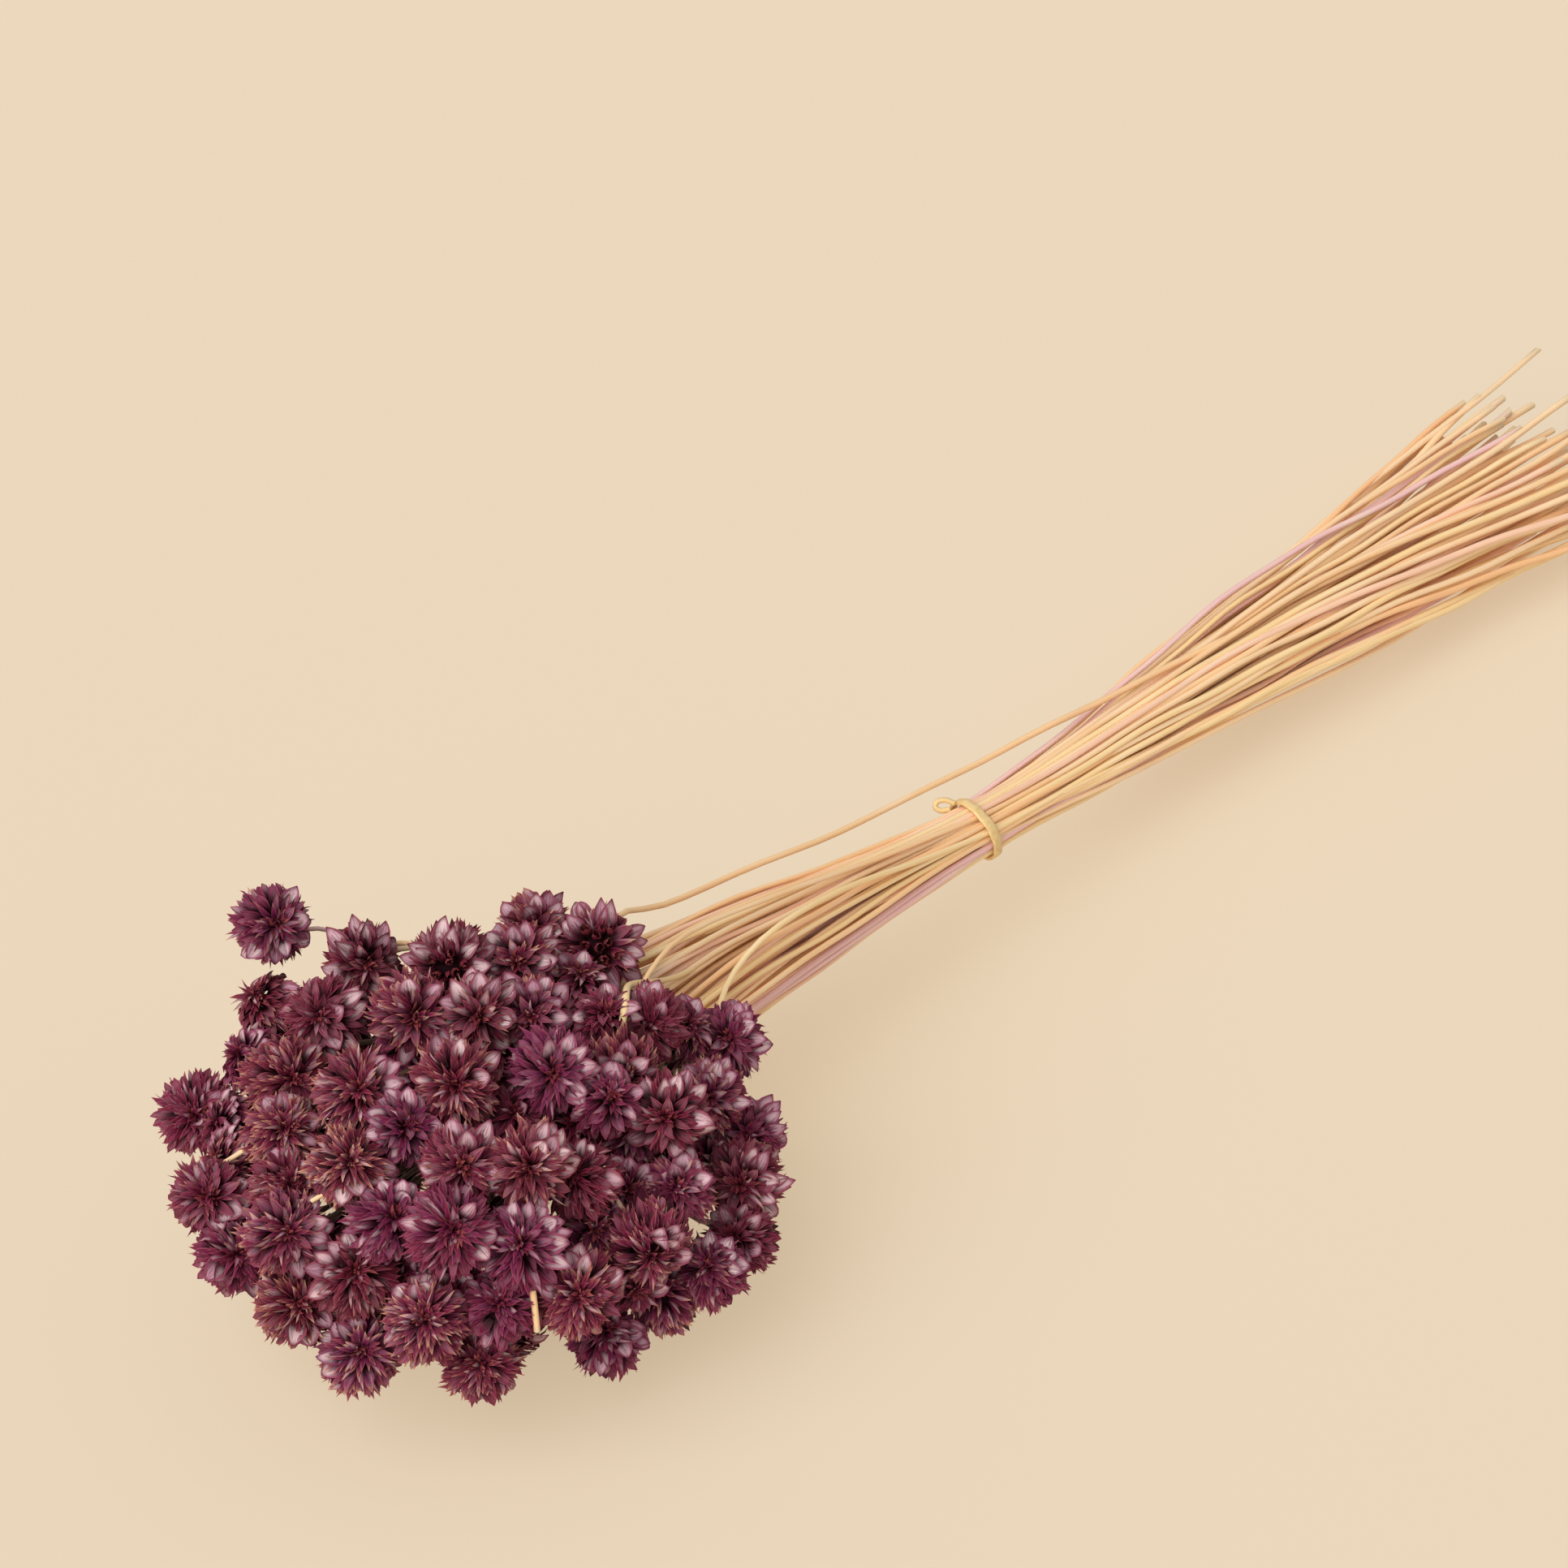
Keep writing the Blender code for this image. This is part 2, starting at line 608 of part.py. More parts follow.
def press_flat(bm):
    """Cuts off what would go below the surface that the bunch rests on, and closes the cut."""
    if min(v.co.z for v in bm.verts) >= 0:
        return
    everything = bm.verts[:] + bm.edges[:] + bm.faces[:]
    surface = {"plane_co": (0, 0, 0), "plane_no": (0, 0, -1)}
    cut = bmesh.ops.bisect_plane(bm, geom=everything, clear_outer=True, **surface)
    edges = [e for e in cut["geom_cut"] if isinstance(e, bmesh.types.BMEdge)]
    bmesh.ops.holes_fill(bm, edges=edges)
    bmesh.ops.recalc_face_normals(bm, faces=bm.faces)


def add_object(name, bm, material, collection):
    """An object in a collection, from a bmesh."""
    mesh = bpy.data.meshes.new(name)
    bm.to_mesh(mesh)
    bm.free()
    mesh.materials.append(material)
    made = bpy.data.objects.new(name, mesh)
    collection.objects.link(made)
    return made


def fused(name, pieces, material, collection):
    """One object from overlapping ones: a Boolean union, applied, with its pieces removed."""
    if len(pieces) == 1:
        pieces[0].name = name
        return pieces[0]
    rest = bpy.data.collections.new(name + "_pieces")
    bpy.context.scene.collection.children.link(rest)
    for piece in pieces[1:]:
        collection.objects.unlink(piece)
        rest.objects.link(piece)
    union = pieces[0].modifiers.new("Union", "BOOLEAN")
    union.operation = "UNION"
    union.operand_type = "COLLECTION"
    union.collection = rest
    union.solver = "MANIFOLD"
    graph = bpy.context.evaluated_depsgraph_get()
    mesh = bpy.data.meshes.new_from_object(pieces[0].evaluated_get(graph))
    made = bpy.data.objects.new(name, mesh)
    mesh.materials.clear()
    mesh.materials.append(material)
    collection.objects.link(made)
    for piece in pieces:
        bpy.data.objects.remove(piece)
    bpy.data.collections.remove(rest)
    return made


def tube_mesh(route, face):
    """A stem: a thin tapering tube with few sides along its route, square to its flower at the base."""
    bm = bmesh.new()
    rows = []
    for k, point in enumerate(route):
        before = route[max(k - 1, 0)]
        after = route[min(k + 1, len(route) - 1)]
        along = unit(after - before) if k else -face
        side, over = head_frame(along, 0.0)
        radius = CORNER_SHARE * stem_radius(route, k)
        row = []
        for n in range(STEM_SIDES):
            turn = n * math.tau / STEM_SIDES
            spot = point + (side * math.cos(turn) + over * math.sin(turn)) * radius
            spot[2] = max(spot[2], 0.0)
            row.append(bm.verts.new(spot))
        rows.append(row)
    for low, high in zip(rows, rows[1:]):
        for n in range(STEM_SIDES):
            after = (n + 1) % STEM_SIDES
            bm.faces.new((low[n], low[after], high[after], high[n]))
    bm.faces.new(rows[0])
    bm.faces.new(rows[-1])
    bmesh.ops.recalc_face_normals(bm, faces=bm.faces)
    return bm


def plug_mesh():
    """The short plug under the band, where the stems press together."""
    bm = bmesh.new()
    bmesh.ops.create_cone(
        bm, cap_ends=True, segments=PLUG_SIDES, radius1=PLUG_RADIUS, radius2=PLUG_RADIUS, depth=PLUG_LENGTH
    )
    turned = Matrix.Translation(Vector(axis_at(BAND_X))) @ Matrix.Rotation(math.pi / 2, 4, "Y")
    bmesh.ops.transform(bm, matrix=turned, verts=bm.verts)
    return bm


def make_band(material, collection):
    """The flat rubber band: a turned ring, leaned a little across the stems."""
    bm = bmesh.new()
    half = BAND_WIDTH / 2
    outer = BAND_INNER_RADIUS + BAND_THICKNESS
    profile = ((outer, half), (BAND_INNER_RADIUS, half), (BAND_INNER_RADIUS, -half), (outer, -half))
    corners = [bm.verts.new((x, 0.0, z)) for x, z in profile]
    for one, other in zip(corners, corners[1:] + corners[:1]):
        bm.edges.new((one, other))
    band = add_object("rubber_band", bm, material, collection)
    turned = band.modifiers.new("Turned", "SCREW")
    turned.steps = BAND_STEPS
    turned.render_steps = BAND_STEPS
    turned.use_merge_vertices = True
    turned.merge_threshold = 0.0001
    turned.use_smooth_shade = True
    turned.use_normal_flip = True
    band.location = Vector(axis_at(BAND_X))
    lean = Matrix.Rotation(BAND_TURN, 4, "Z") @ Matrix.Rotation(math.pi / 2 + BAND_LEAN, 4, "Y")
    band.rotation_euler = lean.to_euler()
    return band


def make_material(name, colour, roughness):
    """A plain surface of one colour."""
    material = bpy.data.materials.new(name)
    material.use_nodes = True
    shader = material.node_tree.nodes["Principled BSDF"]
    shader.inputs["Base Color"].default_value = (*colour, 1.0)
    shader.inputs["Roughness"].default_value = roughness
    shader.inputs["Metallic"].default_value = 0.0
    return material


def make_bunch():
    """Models the whole bunch."""
    for old in list(bpy.data.objects):
        bpy.data.objects.remove(old)
    bunch = bpy.data.collections.new("dried_flower_bunch")
    bpy.context.scene.collection.children.link(bunch)
    petals = make_material("petals", (0.135, 0.030, 0.070), 0.75)
    straw = make_material("stems", (0.68, 0.44, 0.20), 0.65)
    rubber = make_material("band", (0.75, 0.60, 0.25), 0.5)
    flowers, groups = lay_out()
    for number, group in enumerate(groups, 1):
        heads = []
        for place, index in enumerate(group):
            partner = group[1] if len(group) == 2 and place == 0 else None
            heads.append(add_object("head", head_mesh(index, flowers, partner), petals, bunch))
        fused(f"blooms_{number:02d}", heads, petals, bunch)
    stems = [add_object("plug", plug_mesh(), straw, bunch)]
    for flower in flowers:
        stems.append(add_object("stem", tube_mesh(flower["route"], flower["face"]), straw, bunch))
    fused("stems", stems, straw, bunch)
    make_band(rubber, bunch)
    return flowers, groups


FLOWERS, GROUPS = make_bunch()
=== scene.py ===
"""The looks of the bunch of dried, lilac-dyed flowers that lies on its side.

The first half repeats the layout of the source: where every head sits, which way it faces and how
its stem runs. The second half grows the fine pieces on it: bracts, florets, stems and the band.
"""
import math
import random
from collections import namedtuple
from itertools import combinations
from types import SimpleNamespace

import bpy
import numpy as np
from mathutils import Matrix, Vector
from numpy.linalg import norm

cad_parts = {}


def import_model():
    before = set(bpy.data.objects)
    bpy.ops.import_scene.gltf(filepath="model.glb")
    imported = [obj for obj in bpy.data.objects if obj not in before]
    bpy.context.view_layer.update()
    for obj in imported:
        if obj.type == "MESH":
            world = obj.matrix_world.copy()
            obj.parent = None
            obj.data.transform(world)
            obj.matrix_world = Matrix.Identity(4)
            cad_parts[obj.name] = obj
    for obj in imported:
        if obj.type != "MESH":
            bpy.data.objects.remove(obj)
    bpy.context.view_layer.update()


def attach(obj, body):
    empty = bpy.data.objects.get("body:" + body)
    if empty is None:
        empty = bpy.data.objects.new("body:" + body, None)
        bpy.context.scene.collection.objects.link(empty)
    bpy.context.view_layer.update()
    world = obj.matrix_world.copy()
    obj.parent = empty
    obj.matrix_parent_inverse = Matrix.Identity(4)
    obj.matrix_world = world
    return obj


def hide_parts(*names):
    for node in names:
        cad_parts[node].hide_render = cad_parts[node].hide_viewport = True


# The mass of flowers: an egg shape whose surface the outermost bracts reach
HEADS_X = -0.2249
HEADS_Y = -0.0026
HEADS_MIDDLE = np.array([HEADS_X, HEADS_Y, 0.044])
HEADS_REACH = np.array([0.070, 0.068, 0.048])
HEAD_INSET = 0.007
LOWEST_HEAD = 0.0058
SETTLES_BELOW = 0.0165
HIDDEN_HEAD_WIDTH = (0.0165, 0.0190)
HIDDEN_TRIES = 420
HIDDEN_SPACING = 0.0174
HIDDEN_LIMIT = 0.70
HIDDEN_INSET_SPREAD = 0.003
THROAT_OPENING = 0.027
THROAT_STARTS = 0.020
AWAY_SHARE = 0.35
OUT_SHARE = 0.5
CLOSEST = 0.80
SPREAD_STEPS = 40
SIGHT_PULL = 0.35
TOUCH_GAP = 0.00030

# The stems, by their distance along X from the middle of the flowers
STEM_RADIUS_AT_HEAD = 0.00064
STEM_RADIUS_AT_END = 0.00090
NECK_LENGTH = 0.009
INNER_SHARE = 0.55
GATHER_SHARE = 0.20
GATHERED_AT = np.array([0.030, 0.008, 0.006])
THROAT_X = 0.085
THROAT_HALF_SIZE = (0.0170, 0.0155)
BAND_X = 0.190
BUNDLE_RADIUS = 0.0075
FLARE_X = 0.335
FLARE_HALF_SIZE = (0.0195, 0.0130)
END_X = (0.452, 0.492)
END_HALF_SIZE = (0.039, 0.0190)
LONG_END = (0.5205, 0.042, 0.030)
TWIST_TO_END = math.radians(55)
END_JITTER = 0.12
HEAD_CLEARANCE = 0.68
CLEARANCE_STEPS = 24
CLEARANCE_SHARE = 0.6
SWAP_ROUNDS = 12
FREE_SEGMENTS = (0, 1, 2, 3)
FREE_POINTS = (1, 2, 3)
PARTING_STEPS = 20
PARTING_SHARE = 0.35
STEMS_APART = 0.0018
AXIS = (
    (0.000, 0.000, 0.040),
    (0.085, 0.006, 0.0408),
    (0.190, 0.005, 0.031),
    (0.335, 0.008, 0.0250),
    (0.500, 0.010, 0.0200),
)
LOOSE_HEAD = (737, 1168)
LOOSE_ROUTE = ((0.085, 0.0130, 0.0168), (0.140, 0.0127, 0.0123), (0.196, 0.0115, 0.0105))
LOOSE_OFFSET_FROM_TWIN = (0.0, 0.0004, 0.0005)

# Stems whose way the picture shows, by their flower: points in pixels, and how far behind the flower
GUIDED = {
    (332, 1138): ((392, 1144, 0.007), (512, 1164, 0.034)),
    (737, 1168): ((757, 1131, 0.012),),
    (765, 1312): ((762, 1233, 0.007), (772, 1216, 0.016), (846, 1196, 0.060)),
    (800, 1262): ((783, 1238, 0.012), (812, 1186, 0.024), (872, 1138, 0.046)),
    (893, 1285): ((882, 1258, 0.011), (906, 1203, 0.024), (952, 1143, 0.038)),
    (800, 1525): ((759, 1447, 0.004), (748, 1412, 0.024)),
}
BASE_SHARE = 0.58
LINK_ROOM = 0.0030
LINK_SAMPLES = 9
PRESSED_DEPTH = 0.0020
NARROWEST = 0.0003
MOST_HEAD_PIECES = 58
DEEP_FROM = 6
SEED = 20

# The photograph's view: a square picture, its lens and where it stands
PICTURE_PIXELS = 1932
LENS = 80
SENSOR = 36
VIEW_TILT = math.radians(36)
VIEW_TURN = math.radians(-47)
EYE = np.array([HEADS_X - 0.3953, HEADS_Y - 0.4702, 0.5925])

# Where a flower faces, as right, up and near in the picture. Most face straight out of the bunch.
OUT = None
LEFT = (-1.0, 0.1, 0.3)
LOWER_LEFT = (-0.7, -0.6, 0.5)
DOWN = (0.0, -1.0, 0.5)
LOWER_RIGHT = (0.7, -0.6, 0.5)
TOWARD = (0.0, 0.1, 1.0)

# How a head is built: its clusters of narrow bracts and the angle that they start at, its bracts of
# middle width and the angles between which they stand, and its broad bracts, how far they stray
# from one side, unless they stand all round, and how far out they reach
Style = namedtuple("Style", "clusters start middles between broad stray reach")
PUFF = Style(64, 15, 30, (60, 118), (4, 9), 0.7, (1.04, 1.28))
MIXED = Style(44, 15, 40, (36, 116), (8, 12), 1.0, (1.06, 1.36))
STAR = Style(26, 12, 26, (28, 112), (12, 16), None, (1.06, 1.36))
ROSETTE = Style(36, 50, 28, (56, 114), (15, 17), None, (1.12, 1.38))
MIXED_CHANCE = 0.35
HIDDEN_CLUSTERS_SHARE = 0.60
USUAL_PALE_SIDE = 70

# Each flower that the picture shows: its middle in pixels, its width and how deep it sits under
# the outermost ones in millimetres, where it faces, its style, where the middle of its face shows,
# as right and up in shares of its radius, and the side of its broad, pale bracts, in degrees from
# the picture's right towards its top. A row leaves out what is as usual at its end.
Seen = namedtuple(
    "Seen", "x y width sunk facing style eye pale_side", defaults=(OUT, PUFF, None, USUAL_PALE_SIDE)
)
SEEN = (
    (332, 1138, 19.0, 0, LEFT, MIXED, (0.35, 0.00), 5),
    (445, 1180, 17.0, 0, LOWER_LEFT, STAR, (0.40, -0.25)),
    (335, 1243, 16.5, 2),
    (400, 1250, 18.5, 0, OUT, MIXED, (-0.10, 0.00), -15),
    (315, 1310, 16.0, 4),
    (350, 1327, 19.0, 0, OUT, PUFF, (0.50, 0.00), -50),
    (440, 1350, 20.0, 0, LOWER_LEFT, PUFF, (0.20, 0.28), 20),
    (507, 1248, 19.5, 0, OUT, MIXED, (0.25, -0.10), 0),
    (562, 1335, 20.0, 0, OUT, PUFF, (0.05, 0.00)),
    (243, 1372, 19.5, 0, LEFT, PUFF, (0.10, 0.00), -20),
    (555, 1185, 19.0, 0, TOWARD, ROSETTE, (0.00, -0.38)),
    (590, 1250, 17.5, 2, OUT, STAR, (0.05, 0.00)),
    (346, 1402, 17.5, 0, OUT, PUFF, (0.35, 0.30)),
    (490, 1395, 16.5, 2, LOWER_LEFT, STAR, (0.45, 0.35)),
    (290, 1390, 16.0, 8),
    (641, 1181, 17.5, 1, TOWARD, STAR, (-0.07, -0.05)),
    (658, 1141, 17.0, 2, TOWARD, MIXED, (0.15, -0.10)),
    (737, 1168, 20.5, 0, TOWARD, ROSETTE, (0.00, 0.05)),
    (655, 1248, 17.0, 3, OUT, STAR, (0.00, -0.10)),
    (711, 1222, 16.5, 8),
    (743, 1263, 16.5, 3, OUT, MIXED),
    (800, 1262, 17.5, 2, OUT, PUFF, (0.00, 0.00)),
    (765, 1312, 17.5, 1, DOWN, MIXED, (0.05, -0.70)),
    (680, 1318, 20.0, 0, OUT, MIXED, (0.10, -0.05), 5),
    (893, 1285, 19.0, 0, OUT, MIXED, (0.15, 0.20)),
    (835, 1275, 16.0, 2, OUT, MIXED),
    (822, 1372, 19.0, 1, OUT, STAR, (0.00, -0.10)),
    (877, 1351, 17.0, 2, OUT, MIXED, (-0.15, 0.00)),
    (925, 1398, 16.5, 2, OUT, STAR, (-0.15, 0.10)),
    (768, 1401, 16.5, 10),
    (745, 1360, 16.0, 8),
    (651, 1437, 19.0, 0, OUT, MIXED, (0.00, 0.00), 50),
    (573, 1435, 19.0, 0, OUT, MIXED, (0.05, 0.00), 60),
    (258, 1475, 17.5, 0, LEFT, MIXED, (0.10, 0.15), -10),
    (290, 1435, 16.0, 6),
    (349, 1455, 17.0, 2, OUT, PUFF, (0.40, 0.20)),
    (431, 1437, 18.5, 0, OUT, PUFF, (0.20, 0.35), -40),
    (348, 1516, 19.0, 0, OUT, MIXED, (0.35, 0.10), -5),
    (289, 1545, 18.0, 1, OUT, PUFF, (0.30, 0.20), -60),
    (479, 1510, 18.5, 1, OUT, PUFF, (0.30, 0.40)),
    (553, 1515, 20.5, 0, OUT, PUFF, (0.22, 0.12), 60),
    (438, 1570, 19.5, 0, OUT, PUFF, (0.20, 0.30), 180),
    (364, 1609, 18.5, 0, OUT, PUFF, (0.33, 0.22), -60),
    (443, 1666, 19.0, 0, OUT, PUFF, (0.20, 0.25), 120),
    (524, 1628, 19.0, 0, OUT, PUFF, (0.08, 0.26)),
    (592, 1681, 17.5, 0, DOWN, PUFF, (0.10, 0.20)),
    (615, 1612, 17.0, 3, OUT, PUFF, (0.10, 0.40)),
    (560, 1590, 16.0, 8),
    (642, 1540, 20.0, 0, OUT, MIXED, (0.00, 0.28), 60),
    (717, 1455, 17.5, 5, OUT, PUFF, (-0.30, 0.30)),
    (729, 1510, 16.0, 9),
    (800, 1525, 19.5, 0, LOWER_RIGHT, PUFF, (0.10, -0.60)),
    (835, 1466, 16.5, 4, OUT, MIXED, (0.00, 0.20)),
    (860, 1425, 16.0, 8, OUT, MIXED),
    (916, 1455, 19.0, 0, OUT, MIXED, (-0.17, -0.10), 10),
    (915, 1525, 17.0, 1, OUT, MIXED, (-0.40, 0.20)),
    (877, 1568, 16.5, 2, OUT, PUFF, (-0.20, 0.40)),
    (818, 1599, 17.5, 1, OUT, PUFF, (-0.20, 0.50)),
    (712, 1592, 19.5, 0, OUT, PUFF, (0.05, 0.05)),
    (745, 1650, 17.5, 1, LOWER_RIGHT, MIXED, (0.10, 0.50), -50),
    (614, 1302, 16.0, 12),
    (634, 1380, 16.0, 13),
    (704, 1392, 15.5, 15),
    (500, 1302, 15.5, 13),
    (763, 1466, 15.5, 13),
    (503, 1568, 15.0, 12),
    (772, 1575, 16.5, 6),
)

# A head: its core and its overlap with its neighbours, in shares of its radius, and where it looks
CORE_SHARES = (0.52, 0.46)
CORE_SIDES = 9
CORE_RINGS = 6
OVERLAP = 0.70
GAZE_UP = 0.20
GAZE_NEAR = 0.40
HIDDEN_GAZE_RISE = 0.25
HIGHEST_TIP = 0.0952
LOWEST_POINT = 0.00005
SHARP_ANGLE = math.radians(62)
HEAD_SEED = SEED + 1000

# The outline of a bract from its root to its tip, and its section as (across, share of thickness)
NARROW_OUTLINE = (0.55, 1.00, 0.68, 0.03)
MIDDLE_OUTLINE = (0.45, 0.92, 1.00, 0.68, 0.05)
BROAD_OUTLINE = (0.36, 0.78, 1.00, 0.97, 0.76, 0.42, 0.06)
THIN_SECTION = ((-1.0, 0.0), (1.0, 0.0), (0.0, -0.5))
LENS_SECTION = ((-1.0, 0.0), (0.0, 0.5), (1.0, 0.0), (0.0, -0.5))
BROAD_SECTION = (
    (-1.0, 0.0), (-0.55, 0.4), (0.0, 0.5), (0.55, 0.4),
    (1.0, 0.0), (0.55, -0.4), (0.0, -0.5), (-0.55, -0.4),
)
THICKNESS = 0.00016
CUP_POWER = 1.5
THIN_END_SHARE = 1.5
TWIST_AT_ROOT = 0.4
BEND_SHARES = (0.55, 0.45)
BRACT_STRAY = 0.035
LOOK = (0.8, 0.6, 0.3)

# A kind of bract: its outline and section, how far out its root, its bend and its tip lie in shares
# of the head's radius, its width, how cupped and how twisted it is, its number in the colours, its
# root's angle as a share of its tip's less a length, and how much one of its ends strays sideways
Bract = namedtuple("Bract", "outline section heights reach widths cup twist kind root stray")
FLORET = Bract(
    NARROW_OUTLINE, THIN_SECTION, (0.46, 0.84), (0.84, 1.00), (0.0009, 0.0015), (0.5, 1.0), 1.0, 0.3,
    (0.4, 0.0), 0.5,
)
NARROW = Bract(
    NARROW_OUTLINE, THIN_SECTION, (0.56, 0.90), (0.92, 1.08), (0.00095, 0.00160), (0.2, 0.8), 0.7, 0.6,
    None, 0.19,
)
BRISTLE = Bract(
    NARROW_OUTLINE, THIN_SECTION, (0.70, 0.95), (1.02, 1.16), (0.0004, 0.0007), (0.2, 0.8), 0.5, 0.6,
    (1.0, 0.35), 0.1,
)
MIDDLE = Bract(
    MIDDLE_OUTLINE, LENS_SECTION, (0.54, 0.93), (0.94, 1.14), (0.0017, 0.0027), (0.2, 0.8), 0.45, 0.8,
    (1.0, 0.52), 0.10,
)
# Leaves under the heads: their number in the colours darkens them with painted shade
UNDER = Bract(
    MIDDLE_OUTLINE, LENS_SECTION, (0.35, 0.80), (0.78, 0.94), (0.0022, 0.0036), (0.1, 0.5), 0.45, 0.1,
    (0.8, 0.0), None,
)
BROAD = Bract(
    BROAD_OUTLINE, BROAD_SECTION, (0.60, 1.04), None, (0.0036, 0.0053), (0.05, 0.45), 0.35, 1.0,
    (0.62, 0.0), 0.12,
)
CORE_KIND = 0.0
KNOT_KIND = 0.3

# Where the bracts stand on a head: angles in degrees from the middle of its face, and the rest in
# radians over the head or in shares of its radius. Narrow ones widen, and the ones at the back
# reach further, from an angle on and over a stretch.
WIDEST_ANGLE = math.radians(124)
FLORETS = 20
FLORET_ANGLES = (3, 28)
LEAVES_IN_CLUSTER = 5
CLUSTER_ANGLE_STRAY = 0.09
CLUSTER_TURN_STRAY = 0.24
CLUSTER_REACH = (0.86, 1.10)
HOLLOW_ANGLE = 0.8
HOLLOW_DEPTH = 0.10
LOBES = ((2, 0.06), (5, 0.05))
NARROW_LENGTH = (0.42, 0.66)
NARROW_ANGLE_STRAY = 0.17
NEAREST_ROOT = 0.05
TIP_ANGLES = (0.10, WIDEST_ANGLE + 0.2)
LEAST_SINE = 0.35
WIDENS = (0.7, 0.9)
WIDENS_BY = 0.0008
BRISTLES = 24
BRISTLE_ANGLES = (50, 118)
MIDDLE_ANGLE_STRAY = 0.06
UNDER_LEAVES = 28
UNDER_FROM = math.radians(112)
UNDER_SPAN = math.radians(48)
BACK = (2.2, 0.5)
BACK_REACH = 0.60
OPEN_ANGLE = math.radians(64)
OPEN_STEP = 0.42
OPEN_STRAY = 0.10
OPEN_TURNS = 1.5
OPEN_TURN_STRAY = 0.16
PALE_ANGLE = math.radians(66)
PALE_STRAY = 0.26

# The knots of a rosette: how many in each ring and how far from its middle in degrees, and each
# petal's root, bend and tip, as shares of the knot's size upward and outward
KNOT_RINGS = ((1, 0.0), (5, 20.0), (7, 38.0))
KNOT_PETALS = 6
KNOT_OUTLINE = (0.60, 1.00, 0.75, 0.10)
KNOT_SIZE = (0.095, 0.125)
KNOT_HEIGHT = (0.88, 0.97)
KNOT_STRAY = (0.05, 0.12)
KNOT_RING_SHIFT = 60
KNOT_ROOT = (-3.0, 0.4)
KNOT_BEND = (-0.4, 1.5)
KNOT_TIP = 0.3
KNOT_SPREAD = (0.2, 1.1)
KNOT_WIDTH = 1.6
KNOT_LOOK = 0.9
KNOT_CUP = (0.3, 0.8)
KNOT_TWIST = 0.3

# The fine stems: their radius along X, the flare under the head, how they waver, swing out
# before and after the band, and end, and from where painted shade darkens them inside the flowers
FINE_STATIONS = (0.000, 0.085, 0.190, 0.335, 0.486)
FINE_RADII = (0.00062, 0.00072, 0.00078, 0.00098, 0.00105)
RADIUS_SPREAD = (0.9, 1.1)
ROOT_IN_HEAD = 0.3
FLARE_AT_HEAD = 0.00042
FLARE_LENGTH = 0.0045
FINE_SIDES = 8
FINE_STEP = 0.010
FLUTES = 3
FLUTE_DEPTH = 0.06
FLUTE_SHIFT = 20
TINT_LENGTH = 0.65
WAVER = 0.00045
WAVER_STARTS = 0.05
WAVES = ((48, 1.0), (117, 0.6))
LEAST_WAVER = 0.35
BAND_HOLDS_OVER = 0.08
DRIFT = (0.0011, 0.0020)
DRIFT_STARTS = 0.05
CUT_SLANT = 0.0007
SHADED_FROM = 0.92
SHADED_OVER = 0.22
STEM_SEED = SEED + 5000

# A stem that is thicker near its head than the others, by its flower, and bends sharply
THICKER = {(765, 1312): 1.45}
THICKER_LENGTH = 0.06
FINER_STEP = 0.003
ROUNDING = 6

# Short stretches of stem among the flowers: their points in pixels, how deep they sit under the
# outermost bracts and their radius, both in millimetres
BITS = (
    (((655, 1578), (659, 1610), (662, 1640)), 3.0, 0.75),
    (((746, 1438), (733, 1468)), 5.0, 0.60),
    (((256, 1445), (290, 1424), (314, 1408)), 8.0, 0.60),
    (((384, 1480), (412, 1463)), 3.0, 0.55),
    (((472, 1168), (486, 1162), (512, 1163)), 10.0, 0.60),
)
BIT_POINTS = 5
BIT_CHANCE_STEP = 0.37
BIT_CHANCES = 0.5

# The rubber band as it hugs the stems, with its ripples as (number, depth, start), and the end of
# its loop, in pixels
HUG_RADIUS = 0.0089
BAND_HALF_WIDTH = 0.0015
BAND_HALF_THICKNESS = 0.0005
BAND_LEAN = math.radians(14)
BAND_TURN = math.radians(-8)
BAND_STEPS = 72
BAND_CORNERS = 12
BAND_ROUNDNESS = 0.5
BAND_RIPPLES = ((5, 0.012, 1.0), (11, 0.008, 0.0))
BAND_WIDENS = (3, 0.06)
LOOP_END = ((1176, 990), (1165, 986), (1155, 988), (1152, 994), (1159, 999), (1170, 997))
LOOP_RADIUS = 0.00075
LOOP_STEP = 0.001
LOOP_CHANCE = 0.5

# Linear colours of the bracts: wine to violet, streaks, rims that are partly painted highlight, dry
# tips, silky middles that are partly painted sheen, florets, painted shade in the depths, and the core
BODIES = (
    (0.0, (0.080, 0.005, 0.008)), (0.35, (0.112, 0.005, 0.019)),
    (0.65, (0.120, 0.006, 0.038)), (1.0, (0.120, 0.010, 0.076)),
)
STREAK = (0.42, 0.036, 0.12)
# Paler rims: partly the bracts' own margins, partly painted highlight on their edges
RIM_AND_HIGHLIGHT = (0.57, 0.130, 0.22)
DRY_TIPS = ((0.52, 0.145, 0.11), (0.70, 0.40, 0.24))
# Pale, silky middles: partly the bracts' own colour, partly painted sheen
SILK_AND_SHEEN = ((0.54, 0.28, 0.38), (0.84, 0.61, 0.64))
BUDS = ((0.19, 0.014, 0.047), (0.38, 0.085, 0.065))
PAINTED_SHADE = ((0.0, (0.09, 0.05, 0.06)), (1.0, (1.0, 1.0, 1.0)))
CORE = (0.020, 0.004, 0.007)

